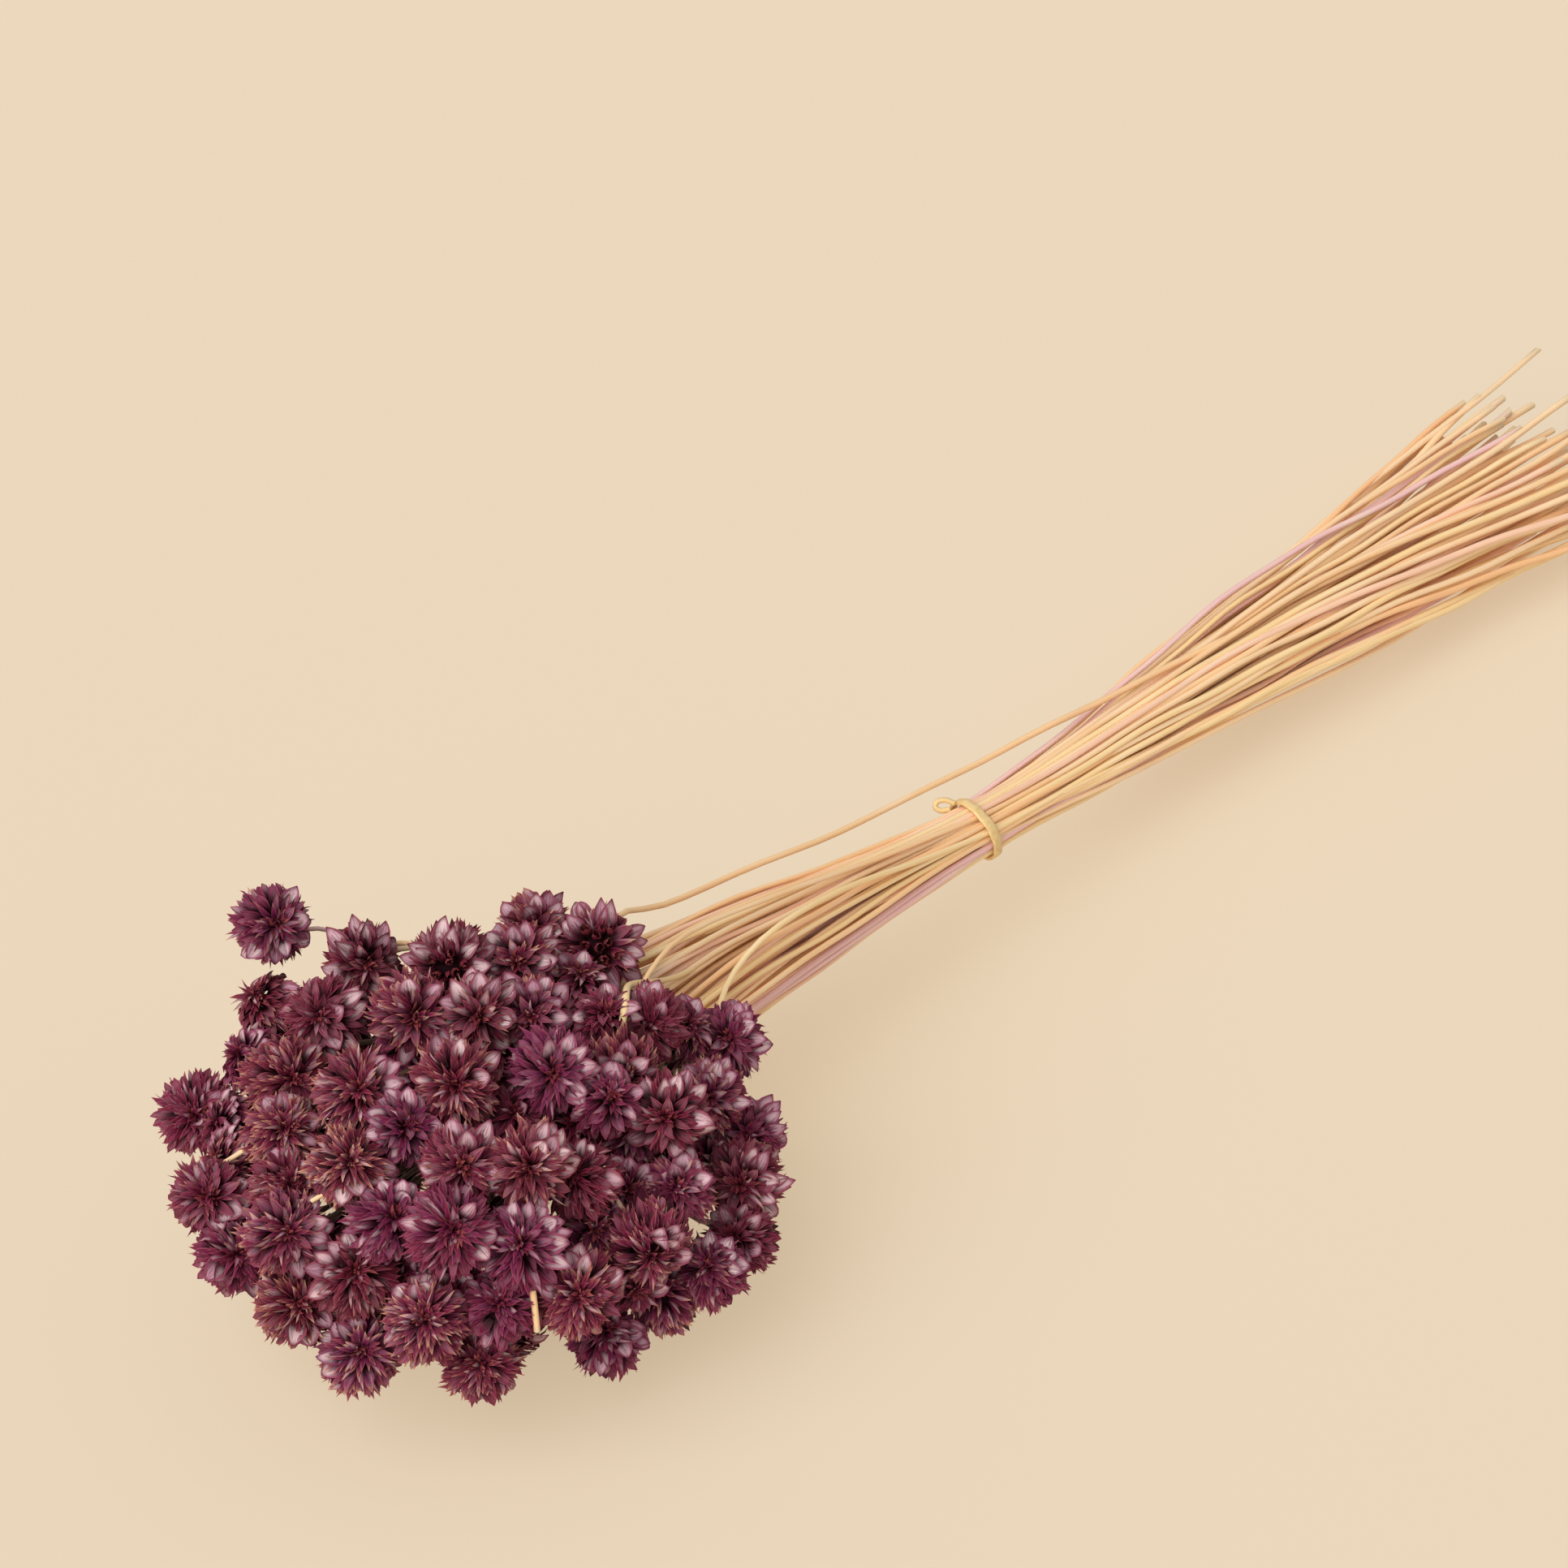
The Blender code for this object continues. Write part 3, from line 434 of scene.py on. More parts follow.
# Linear colours of the stems: each stem's own, their grain, bleached and stained blotches, their
# cut ends, and the painted shade on them deep inside the mass of flowers
STRAWS = (
    (0.0, (0.99, 0.66, 0.36)), (0.22, (0.99, 0.72, 0.44)), (0.44, (0.99, 0.60, 0.31)),
    (0.56, (0.99, 0.64, 0.46)), (0.76, (0.99, 0.73, 0.38)), (0.90, (0.90, 0.58, 0.58)),
)
GRAIN = (0.70, 0.34, 0.15)
BLEACHED = (0.99, 0.86, 0.66)
STAIN = (0.60, 0.28, 0.20)
CUT_END = (0.78, 0.62, 0.40)
SHADE_IN_MASS = (0.045, 0.012, 0.014)

# Linear colours of the rubber, and of the paper floor and its own faint light
RUBBERS = ((0.74, 0.51, 0.21), (0.86, 0.65, 0.33))
PAPERS = ((0.290, 0.267, 0.235), (0.302, 0.278, 0.245))
PAPER_GLOW = (0.85, 0.66, 0.435)
PAPER_GLOW_STRENGTH = 0.62
FLOOR_SIZE = 6.0

# The studio: a lamp at the left and the front, and the light all round
KEY_LEFT = 0.60
KEY_FRONT = 0.80
KEY_SPREAD = math.radians(60)
KEY_STRENGTH = 2.65
KEY_COLOUR = (1.0, 0.97, 0.93)
STUDIO_COLOUR = (1.0, 0.97, 0.92, 1.0)
STUDIO_STRENGTH = 0.42

# The noise in the materials, what the camera takes in, and the turn that spreads points evenly
NOISE_ROUGHNESS = 0.55
CLIP = (0.01, 50)
GOLDEN = math.pi * (3 - math.sqrt(5))


def unit(vector):
    """The vector at length 1."""
    return vector / norm(vector)


def view_axes():
    """The picture's right, up and near directions."""
    right = np.array([math.cos(VIEW_TURN), math.sin(VIEW_TURN), 0.0])
    flat = math.cos(VIEW_TILT)
    near = np.array([math.sin(VIEW_TURN) * flat, -math.cos(VIEW_TURN) * flat, math.sin(VIEW_TILT)])
    return right, np.cross(near, right), near


RIGHT, UP, NEAR = view_axes()


def sight(x, y):
    """The direction from the eye through a pixel of the picture."""
    scale = LENS / SENSOR * PICTURE_PIXELS
    middle = PICTURE_PIXELS / 2
    return (x - middle) / scale * RIGHT - (y - middle) / scale * UP - NEAR


def axis_at(x):
    """The middle of the bundle of stems at a distance along X from the flowers' middle."""
    stations, sides, heights = zip(*AXIS)
    side, height = np.interp(x, stations, sides), np.interp(x, stations, heights)
    return np.array([HEADS_X + x, HEADS_Y + side, height])


def place_seen(x, y, inset):
    """Where a pixel's line of sight meets the egg shape, or comes nearest to it."""
    reach = HEADS_REACH - inset
    start = (EYE - HEADS_MIDDLE) / reach
    line = sight(x, y) / reach
    along = -(start @ line) / (line @ line)
    off = np.sum((start + along * line) ** 2)
    if off < 1:
        along -= math.sqrt((1 - off) / (line @ line))
    return EYE + along * sight(x, y)


def faces_out(place):
    """Straight out of the egg shape, turned a little away from where the stems come in."""
    outward = unit((place - HEADS_MIDDLE) / HEADS_REACH ** 2)
    throat = axis_at(THROAT_X)
    return unit(outward + AWAY_SHARE * unit(place - throat))


def seen_flowers():
    """The flowers that the picture shows."""
    flowers = []
    for x, y, width, sunk, facing, style, eye, pale_side in (Seen(*row) for row in SEEN):
        place = place_seen(x, y, HEAD_INSET + sunk / 1000)
        face = faces_out(place)
        if facing is not OUT:
            turned = facing[0] * RIGHT + facing[1] * UP + facing[2] * NEAR
            face = unit(unit(turned) + OUT_SHARE * face)
        flowers.append(SimpleNamespace(
            place=place, radius=width / 2000, face=face, pixel=(x, y), sunk=sunk, style=style, eye=eye,
            pale_side=pale_side,
        ))
    return flowers


def settled(height):
    """The height of a head: the lowest ones are pressed down on the surface."""
    return LOWEST_HEAD if height < SETTLES_BELOW else height


def inside_outline(place):
    """The place, moved square to the view until it lies well inside the outline in the picture."""
    line = unit(NEAR / HEADS_REACH)
    off = (place - HEADS_MIDDLE) / HEADS_REACH
    across = off - (off @ line) * line
    size = norm(across)
    if size > HIDDEN_LIMIT:
        off = off - across * (1 - HIDDEN_LIMIT / size)
    return HEADS_MIDDLE + off * HEADS_REACH


def hidden_flowers(seen, dice):
    """Flowers on the sides that the picture doesn't show, spaced like the others."""
    flowers = []
    for k in range(HIDDEN_TRIES):
        height = 1 - 2 * (k + 0.5) / HIDDEN_TRIES
        flat = math.sqrt(1 - height * height)
        way = np.array([flat * math.cos(k * GOLDEN), flat * math.sin(k * GOLDEN), height])
        inset = HEAD_INSET + dice.uniform(0.0, HIDDEN_INSET_SPREAD)
        place = HEADS_MIDDLE + way * (HEADS_REACH - inset)
        place = inside_outline(place)
        place[2] = settled(place[2])
        off_axis = norm((place - axis_at(place[0] - HEADS_X))[1:])
        if place[0] > HEADS_X + THROAT_STARTS and off_axis < THROAT_OPENING:
            continue
        others = [f.place for f in seen + flowers]
        if min(norm(place - other) for other in others) < HIDDEN_SPACING:
            continue
        radius = dice.uniform(*HIDDEN_HEAD_WIDTH) / 2
        flowers.append(SimpleNamespace(
            place=place, radius=radius, face=faces_out(place), pixel=None, sunk=0, style=None, eye=None,
            pale_side=USUAL_PALE_SIDE,
        ))
    return flowers


def spread(flowers):
    """Moves heads that are too close apart, and holds each seen one on its line of sight."""
    for _ in range(SPREAD_STEPS):
        for one, other in combinations(flowers, 2):
            apart = other.place - one.place
            distance = norm(apart)
            room = CLOSEST * (one.radius + other.radius)
            if distance < room:
                push = apart / distance * (room - distance) / 2
                one.place = one.place - push
                other.place = other.place + push
        for flower in flowers:
            place = flower.place
            if flower.pixel:
                line = unit(sight(*flower.pixel))
                on_line = EYE + line * ((place - EYE) @ line)
                place = place + SIGHT_PULL * (on_line - place)
            else:
                place = inside_outline(place)
                place[2] = settled(place[2])
            flower.place = place


def bundle_slots(flowers):
    """Gives each stem its slot in the round bundle, so that neighbours stay neighbours."""
    count = len(flowers)

    def in_circle(rank, turn):
        radius = math.sqrt((rank + 0.5) / count)
        return np.array([radius * math.cos(turn), radius * math.sin(turn)])

    offs = [flower.place - axis_at(THROAT_X) for flower in flowers]
    spans = [math.acos(max(-1.0, min(1.0, -unit(off)[0]))) for off in offs]
    order = np.argsort(np.argsort(spans))
    wanted = [in_circle(rank, math.atan2(off[2], off[1])) for rank, off in zip(order, offs)]
    slots = [in_circle(k, k * GOLDEN) for k in range(count)]
    free = list(range(count))
    given = [0] * count
    for k in reversed(range(count)):
        nearest = min(free, key=lambda i: norm(wanted[i] - slots[k]))
        given[nearest] = k
        free.remove(nearest)
    for _ in range(SWAP_ROUNDS):
        for i, j in combinations(range(count), 2):
            change = (wanted[i] - wanted[j]) @ (slots[given[i]] - slots[given[j]])
            if change < 0:
                given[i], given[j] = given[j], given[i]
    for flower, k in zip(flowers, given):
        flower.slot = slots[k]


def stem_route(flower, dice):
    """The points of one stem, from the base of its head to its cut end."""
    slot = flower.slot
    base = flower.place - flower.face * (BASE_SHARE * flower.radius + TOUCH_GAP)
    neck = base - flower.face * NECK_LENGTH

    def across(x, half_side, half_height, turned=0.0):
        side = slot[0] * math.cos(turned) - slot[1] * math.sin(turned)
        height = slot[0] * math.sin(turned) + slot[1] * math.cos(turned)
        return axis_at(x) + np.array([0.0, side * half_side, height * half_height])

    throat = across(THROAT_X, *THROAT_HALF_SIZE)
    inner = neck + INNER_SHARE * (throat - neck)
    inner = inner + GATHER_SHARE * (HEADS_MIDDLE + GATHERED_AT - inner)
    points = [base, neck, inner, throat]
    points.append(across(BAND_X, BUNDLE_RADIUS, BUNDLE_RADIUS))
    points.append(across(FLARE_X, *FLARE_HALF_SIZE, TWIST_TO_END / 2))
    end = across(dice.uniform(*END_X), *END_HALF_SIZE, TWIST_TO_END)
    end[1] += dice.uniform(-1, 1) * END_JITTER * END_HALF_SIZE[0]
    end[2] += dice.uniform(-1, 1) * END_JITTER * END_HALF_SIZE[1]
    points.append(end)
    for point in points:
        point[2] = max(point[2], STEM_RADIUS_AT_END)
    return points


def guide(flowers):
    """Leads the stems whose way the picture shows."""
    for flower in flowers:
        for k, (x, y, behind) in enumerate(GUIDED.get(flower.pixel, ()), 1):
            distance = (EYE - flower.place) @ NEAR + behind
            flower.route[k] = EYE + distance * sight(x, y)


def loosen(flowers):
    """Leads one stem outside the band, until it joins its neighbour where the stems spread."""
    loose = next(f for f in flowers if f.pixel == LOOSE_HEAD)
    others = [f for f in flowers if f is not loose]
    twin = min(others, key=lambda f: norm(f.slot - loose.slot))
    outside = [axis_at(x) + np.array([0.0, side, up]) for x, side, up in LOOSE_ROUTE]
    joined = twin.route[-2] + np.array(LOOSE_OFFSET_FROM_TWIN)
    loose.route = loose.route[:2] + outside + [joined, loose.route[-1]]


def lengthen(flowers):
    """Lets the uppermost cut end on the far side reach out past the others."""
    longest = max(flowers, key=lambda f: f.route[-1][1] + f.route[-1][2])
    longest.route[-1] = np.array([HEADS_X, HEADS_Y, 0.0]) + LONG_END


def nearest_on(start, stop, places):
    """The points of a segment that are nearest to each of many places."""
    line = stop - start
    share = np.clip((places - start) @ line / (line @ line), 0.0, 1.0)
    return start + share[:, None] * line


def clear_of_heads(flowers):
    """Bends the stems' inner points away from the other heads."""
    places = np.array([f.place for f in flowers])
    rooms = np.array([HEAD_CLEARANCE * f.radius for f in flowers]) + STEM_RADIUS_AT_HEAD + TOUCH_GAP
    for index, flower in enumerate(flowers):
        route = flower.route
        others = np.arange(len(places)) != index
        for _ in range(CLEARANCE_STEPS):
            for first in FREE_SEGMENTS:
                found = nearest_on(route[first], route[first + 1], places[others])
                off = found - places[others]
                distance = norm(off, axis=1)
                short = np.maximum(rooms[others] - distance, 0.0)
                if not short.any():
                    continue
                push = (off / distance[:, None] * short[:, None]).sum(axis=0)
                for end in (first, first + 1):
                    if end in FREE_POINTS:
                        route[end] = route[end] + CLEARANCE_SHARE * push
                        route[end][2] = max(route[end][2], STEM_RADIUS_AT_END * 2)


def part_stems(flowers):
    """Bends crossing stems apart between their heads and the throat."""
    count = len(flowers)
    row, column = np.triu_indices(count * len(FREE_SEGMENTS), 1)
    owner = np.repeat(np.arange(count), len(FREE_SEGMENTS))
    differ = owner[row] != owner[column]
    row, column = row[differ], column[differ]
    for _ in range(PARTING_STEPS):
        routes = np.array([flower.route[:len(FREE_SEGMENTS) + 1] for flower in flowers])
        starts = np.concatenate([routes[:, None, k] for k in FREE_SEGMENTS], axis=1).reshape(-1, 3)
        stops = np.concatenate([routes[:, None, k + 1] for k in FREE_SEGMENTS], axis=1).reshape(-1, 3)
        lines = stops - starts
        one, other = lines[row], lines[column]
        between = starts[row] - starts[column]
        pairs = ((one, one), (other, other), (one, other))
        aa, bb, ab = (np.einsum("ij,ij->i", p, q) for p, q in pairs)
        ac, bc = (np.einsum("ij,ij->i", p, between) for p in (one, other))
        s = np.clip((ab * bc - bb * ac) / np.maximum(aa * bb - ab * ab, 1e-14), 0.0, 1.0)
        t = np.clip((ab * s + bc) / bb, 0.0, 1.0)
        s = np.clip((ab * t - ac) / aa, 0.0, 1.0)
        off = between + s[:, None] * one - t[:, None] * other
        distance = norm(off, axis=1)
        close = np.nonzero(distance < STEMS_APART)[0]
        moves = np.zeros_like(routes)
        for k in close:
            side = off[k] / max(distance[k], 1e-7)
            push = side * (STEMS_APART - distance[k]) * PARTING_SHARE
            for segment, share, sign in ((row[k], s[k], 1), (column[k], t[k], -1)):
                stem, first = divmod(segment, len(FREE_SEGMENTS))
                moves[stem, first] += sign * push * (1 - share)
                moves[stem, first + 1] += sign * push * share
        for flower, move in zip(flowers, moves):
            for k in FREE_POINTS:
                flower.route[k] = flower.route[k] + move[k]
                flower.route[k][2] = max(flower.route[k][2], STEM_RADIUS_AT_END * 2)


def link_is_clear(one, other, flowers):
    """Whether no stem comes near the line between the middles of two heads."""
    shares = np.linspace(0.0, 1.0, LINK_SAMPLES)[:, None]
    line = one.place + shares * (other.place - one.place)
    for flower in flowers:
        route = flower.route
        for k in FREE_SEGMENTS:
            found = nearest_on(route[k], route[k + 1], line)
            if norm(found - line, axis=1).min() < LINK_ROOM:
                return False
    return True


def pair_up(flowers):
    """Joins the nearest neighbours in pairs until the heads fit the number of nodes."""
    gaps = []
    for i, j in combinations(range(len(flowers)), 2):
        gap = norm(flowers[i].place - flowers[j].place)
        gaps.append((gap / (flowers[i].radius + flowers[j].radius), i, j))
    pairs = []
    taken = set()
    for _, i, j in sorted(gaps):
        if len(flowers) - len(pairs) <= MOST_HEAD_PIECES:
            break
        if i in taken or j in taken or not link_is_clear(flowers[i], flowers[j], flowers):
            continue
        taken.update((i, j))
        pairs.append((i, j))
    single = [(i,) for i in range(len(flowers)) if i not in taken]
    return sorted(pairs + single)


def lay_out():
    """Every flower with its place, its face, its stem's route and the node that it belongs to."""
    dice = random.Random(SEED)
    flowers = seen_flowers()
    flowers += hidden_flowers(flowers, dice)
    spread(flowers)
    bundle_slots(flowers)
    for flower in flowers:
        flower.route = stem_route(flower, dice)
    guide(flowers)
    loosen(flowers)
    lengthen(flowers)
    for _ in range(2):
        part_stems(flowers)
        clear_of_heads(flowers)
    return flowers, pair_up(flowers)


def neighbour_walls(flower, flowers):
    """The planes between a head and its neighbours, as directions and distances from its middle."""
    walls = [(np.array([0.0, 0.0, -1.0]), flower.place[2] + PRESSED_DEPTH)]
    for other in flowers:
        if other is not flower:
            apart = other.place - flower.place
            distance = norm(apart)
            share = flower.radius / (flower.radius + other.radius)
            walls.append((apart / distance, distance * share))
    return tuple(np.array(values) for values in zip(*walls))


def held_back(rays, walls):
    """Rays from a head's middle, drawn in where they pass a neighbour's wall, but not all the way."""
    directions, distances = walls
    reach = rays @ directions.T
    with np.errstate(divide="ignore"):
        share = np.where(reach > distances, np.maximum(distances, NARROWEST) / reach, 1.0)
    least = share.min(axis=1)
    return rays * (least + OVERLAP * (1 - least))[:, None]


def slope(values, start, over):
    """Numbers that go from 0 at a start to 1 after a stretch, and are held there."""
    return np.clip((values - start) / over, 0.0, 1.0)


def normed(vectors):
    """Each vector at length 1."""
    return vectors / np.maximum(norm(vectors, axis=-1, keepdims=True), 1e-9)


def circle(turns, side, over):
    """Directions at some turns from one axis towards another."""
    return np.cos(turns)[..., None] * side + np.sin(turns)[..., None] * over


def marks(shape, *values):
    """Three numbers at each corner, kept as a colour."""
    colours = np.ones((*shape, 4))
    for channel, value in enumerate(values):
        colours[..., channel] = value
    return colours.reshape(-1, 4)


def ring_faces(grid):
    """The faces between the rows of a grid of corners, where each row is a closed ring."""
    after = np.roll(grid, -1, axis=1)
    return np.stack([grid[:-1], after[:-1], after[1:], grid[1:]], axis=-1).reshape(-1, 4)


def tube_faces(rows, around):
    """The sides and the two ends of a closed tube of corners."""
    grid = np.arange(rows * around).reshape(rows, around)
    return ring_faces(grid), np.stack([grid[0][::-1], grid[-1]])


def leaves(root, bend, tip, look, width, outline, section, cup, roll, chance):
    """Thin closed leaves, each along a curve from its root past a bend to its tip.

    look is the way that a leaf's upper face turns, cup is how far its rims rise in shares of its
    half width, and roll is how far it twists on its way.
    """
    count, rows, around = len(root), len(outline), len(section)
    t = np.linspace(0.0, 1.0, rows)[None, :, None]
    middle = (1 - t) ** 2 * root[:, None] + 2 * t * (1 - t) * bend[:, None] + t ** 2 * tip[:, None]
    along = normed((1 - t) * (bend - root)[:, None] + t * (tip - bend)[:, None] + 1e-9)
    side = normed(np.cross(along, np.broadcast_to(look[:, None], along.shape)))
    above = np.cross(side, along)
    turn = roll[:, None, None] * (TWIST_AT_ROOT + (1 - TWIST_AT_ROOT) * t)
    side, above = side * np.cos(turn) + above * np.sin(turn), above * np.cos(turn) - side * np.sin(turn)
    across, level = np.array(section).T
    half = width[:, None] * np.array(outline)[None] / 2
    rise = cup[:, None, None] * half[:, :, None] * np.abs(across) ** CUP_POWER
    thick = THICKNESS * np.minimum(1.0, half / half.max(axis=1, keepdims=True) * THIN_END_SHARE)
    rise = rise + level * thick[:, :, None]
    corners = middle[:, :, None] + side[:, :, None] * (half[:, :, None] * across)[..., None]
    corners = corners + above[:, :, None] * rise[..., None]
    tint = marks((count, rows, around), t, 0.5 + 0.5 * across, chance[:, None, None])
    starts = np.arange(count)[:, None, None] * rows * around
    faces = [(part + starts).reshape(-1, part.shape[1]) for part in tube_faces(rows, around)]
    return corners.reshape(-1, 3), faces, tint


def gaze_of(flower):
    """Where the middle of a head looks: as the picture shows it, or else out, up and near."""
    if flower.eye:
        across, up = flower.eye
        return across * RIGHT + up * UP + math.sqrt(1 - across ** 2 - up ** 2) * NEAR
    if flower.pixel:
        return unit(flower.face + GAZE_UP * UP + GAZE_NEAR * NEAR)
    return unit(flower.face + np.array([0.0, 0.0, HIDDEN_GAZE_RISE]))


class Head:
    """One flower head: how it stands, and the parts that have grown on it so far."""

    def __init__(self, index, flowers):
        flower = flowers[index]
        self.dice = np.random.default_rng(HEAD_SEED + index)
        self.middle, self.radius = flower.place, flower.radius
        self.style, self.pale_side = flower.style, math.radians(flower.pale_side)
        if not self.style:
            self.style = MIXED if self.dice.uniform() < MIXED_CHANCE else PUFF
        self.outermost = flower.pixel and flower.sunk < DEEP_FROM
        self.gaze = gaze_of(flower)
        self.over = unit(UP - (UP @ self.gaze) * self.gaze + 1e-6)
        if not flower.pixel:
            spin = self.dice.uniform(0, math.tau)
            round_gaze = np.cross(self.gaze, self.over)
            self.over = unit(self.over * math.cos(spin) + round_gaze * math.sin(spin))
        self.side = np.cross(self.over, self.gaze)
        self.walls = neighbour_walls(flower, flowers)
        self.parts = []

    def ways(self, angle, turn):
        """Directions at an angle from the gaze and a turn round it, and their part square to it."""
        outward = circle(turn, self.side, self.over)
        return self.gaze * np.cos(angle)[:, None] + outward * np.sin(angle)[:, None], outward

    def sprout(self, bract, angle, turn, further=0.0):
        """Adds bracts whose roots lie nearer than their tips to the middle of the face."""
        share, length = bract.root
        tip_turn = turn + self.dice.normal(0, bract.stray, len(turn)) if bract.stray else turn
        reach = self.dice.uniform(*bract.reach, len(turn)) + further
        self.grow(bract, (angle * share - length, turn), (angle, tip_turn), reach)

    def grow(self, bract, roots, tips, reach, width=None):
        """Adds bracts from (angle, turn) at their roots to (angle, turn) at their tips."""
        dice, radius = self.dice, self.radius
        count = len(reach)
        width = dice.uniform(*bract.widths, count) if width is None else width
        tip_way, outward = self.ways(*tips)
        root_way, _ = self.ways(*roots)
        bend_way = normed(BEND_SHARES[0] * tip_way + BEND_SHARES[1] * root_way)
        stray = dice.normal(0, BRACT_STRAY * radius, (2, count, 3))
        root = held_back(root_way * radius * bract.heights[0], self.walls)
        bend = held_back(bend_way * radius * bract.heights[1] + stray[0], self.walls)
        tip = held_back(tip_way * radius * reach[:, None] + stray[1], self.walls)
        tip[:, 2] = np.minimum(tip[:, 2], HIGHEST_TIP - self.middle[2])
        look = LOOK[0] * self.gaze + LOOK[1] * tip_way - LOOK[2] * outward
        root, bend, tip = (self.middle + point for point in (root, bend, tip))
        made = leaves(
            root, bend, tip, look, width, bract.outline, bract.section, dice.uniform(*bract.cup, count),
            dice.normal(0, bract.twist, count), dice.uniform(0, 1, count),
        )
        self.parts.append((*made, bract.kind))

    def core(self):
        """A rough ball: the core that the bracts grow from, near-black, partly the head's own dark
        middle and partly painted shade.
        """
        wide, tall = CORE_SHARES[0] * self.radius, CORE_SHARES[1] * self.radius
        angles = np.linspace(0.0, math.pi, CORE_RINGS + 1)[1:-1]
        turns = np.arange(CORE_SIDES) / CORE_SIDES * math.tau
        angle, turn = np.meshgrid(angles, turns, indexing="ij")
        ways = circle(turn, self.side, self.over) * np.sin(angle)[..., None] * wide
        ways = ways + self.gaze * np.cos(angle)[..., None] * tall
        poles = [self.gaze * tall, -self.gaze * tall]
        corners = np.concatenate([ways.reshape(-1, 3), poles]) + self.middle
        grid = np.arange(angle.size).reshape(angle.shape)
        after = np.roll(grid, -1, axis=1)
        top = np.stack([np.full(CORE_SIDES, angle.size), grid[0], after[0]], axis=-1)
        bottom = np.stack([np.full(CORE_SIDES, angle.size + 1), after[-1], grid[-1]], axis=-1)
        faces = [ring_faces(grid)[:, [0, 3, 2, 1]], top, bottom]
        self.parts.append((corners, faces, marks((len(corners),), 0.0, 0.5, 0.0), CORE_KIND))

    def eye(self):
        """Small, curled florets in a hollow. A rosette has knots there instead."""
        turn = np.arange(FLORETS) * GOLDEN
        angle = np.radians(self.dice.uniform(*FLORET_ANGLES, FLORETS))
        if self.style is not ROSETTE:
            root_turn = turn + self.dice.normal(0, FLORET.stray, FLORETS)
            reach = self.dice.uniform(*FLORET.reach, FLORETS)
            self.grow(FLORET, (angle * FLORET.root[0], root_turn), (angle, turn), reach)

    def clusters(self):
        """Clusters of narrow, pointed bracts, which share a root and spread over each other."""
        dice = self.dice
        clusters = int(self.style.clusters * (1.0 if self.outermost else HIDDEN_CLUSTERS_SHARE))
        first = math.cos(math.radians(self.style.start))
        k = np.arange(clusters)
        angle = np.arccos(first - (first - math.cos(WIDEST_ANGLE)) * (k + 0.5) / clusters)
        turn = k * GOLDEN + dice.uniform(0, math.tau) + dice.normal(0, CLUSTER_TURN_STRAY, clusters)
        angle = angle + dice.normal(0, CLUSTER_ANGLE_STRAY, clusters)
        hollow = HOLLOW_DEPTH * np.clip(1 - angle / HOLLOW_ANGLE, 0.0, 1.0)
        stands_out = dice.uniform(*CLUSTER_REACH, clusters) - hollow
        swell = 1
        for (number, depth), start in zip(LOBES, dice.uniform(0, math.tau, len(LOBES))):
            swell = swell + depth * np.sin(number * turn + start)
        length = dice.uniform(*NARROW_LENGTH, clusters)
        angle, turn, stands_out, length = (
            np.repeat(values, LEAVES_IN_CLUSTER) for values in (angle, turn, stands_out * swell, length)
        )
        count = len(angle)
        tip_angle = np.clip(angle + dice.normal(0, NARROW_ANGLE_STRAY, count), *TIP_ANGLES)
        stray = dice.normal(0, NARROW.stray, count)
        tip_turn = turn + stray / np.maximum(np.sin(angle), LEAST_SINE)
        outer = slope(angle, *WIDENS)
        width = dice.uniform(*NARROW.widths, count) + outer * dice.uniform(0.0, WIDENS_BY, count)
        reach = stands_out * dice.uniform(*NARROW.reach, count)
        root_angle = np.maximum(angle - length, NEAREST_ROOT)
        self.grow(NARROW, (root_angle, turn), (tip_angle, tip_turn), reach, width)

    def bristles(self):
        """Bristles that stand out past the bracts."""
        angle = np.radians(self.dice.uniform(*BRISTLE_ANGLES, BRISTLES))
        self.sprout(BRISTLE, angle, self.dice.uniform(0, math.tau, BRISTLES))

    def middles(self):
        """Bracts of middle width, round the rim and between the narrow ones."""
        dice, count = self.dice, self.style.middles
        low, high = np.radians(self.style.between)
        share = (np.arange(count) + 0.5) / count
        angle = low + (high - low) * share + dice.normal(0, MIDDLE_ANGLE_STRAY, count)
        self.sprout(MIDDLE, angle, np.arange(count) * GOLDEN + dice.uniform(0, math.tau))

    def under(self):
        """Leaves under the head, which close the gaps towards its neighbours, dark with painted shade.
        """
        k = np.arange(UNDER_LEAVES)
        angle = UNDER_FROM + UNDER_SPAN * (k + 0.5) / UNDER_LEAVES
        back = BACK_REACH * slope(angle, *BACK)
        self.sprout(UNDER, angle, k * GOLDEN + self.dice.uniform(0, math.tau), back)

    def broad(self):
        """Broad, cupped, pale bracts, all round an open head or on one side of the others."""
        dice = self.dice
        count = dice.integers(*self.style.broad)
        if self.style.stray is None:
            k = np.arange(count)
            turn = k * math.tau / count * OPEN_TURNS + dice.normal(0, OPEN_TURN_STRAY, count)
            angle = OPEN_ANGLE + k % 2 * OPEN_STEP + dice.normal(0, OPEN_STRAY, count)
        else:
            turn = self.pale_side + dice.normal(0, self.style.stray, count)
            angle = PALE_ANGLE + dice.normal(0, PALE_STRAY, count)
        self.sprout(BROAD._replace(reach=self.style.reach), angle, turn)

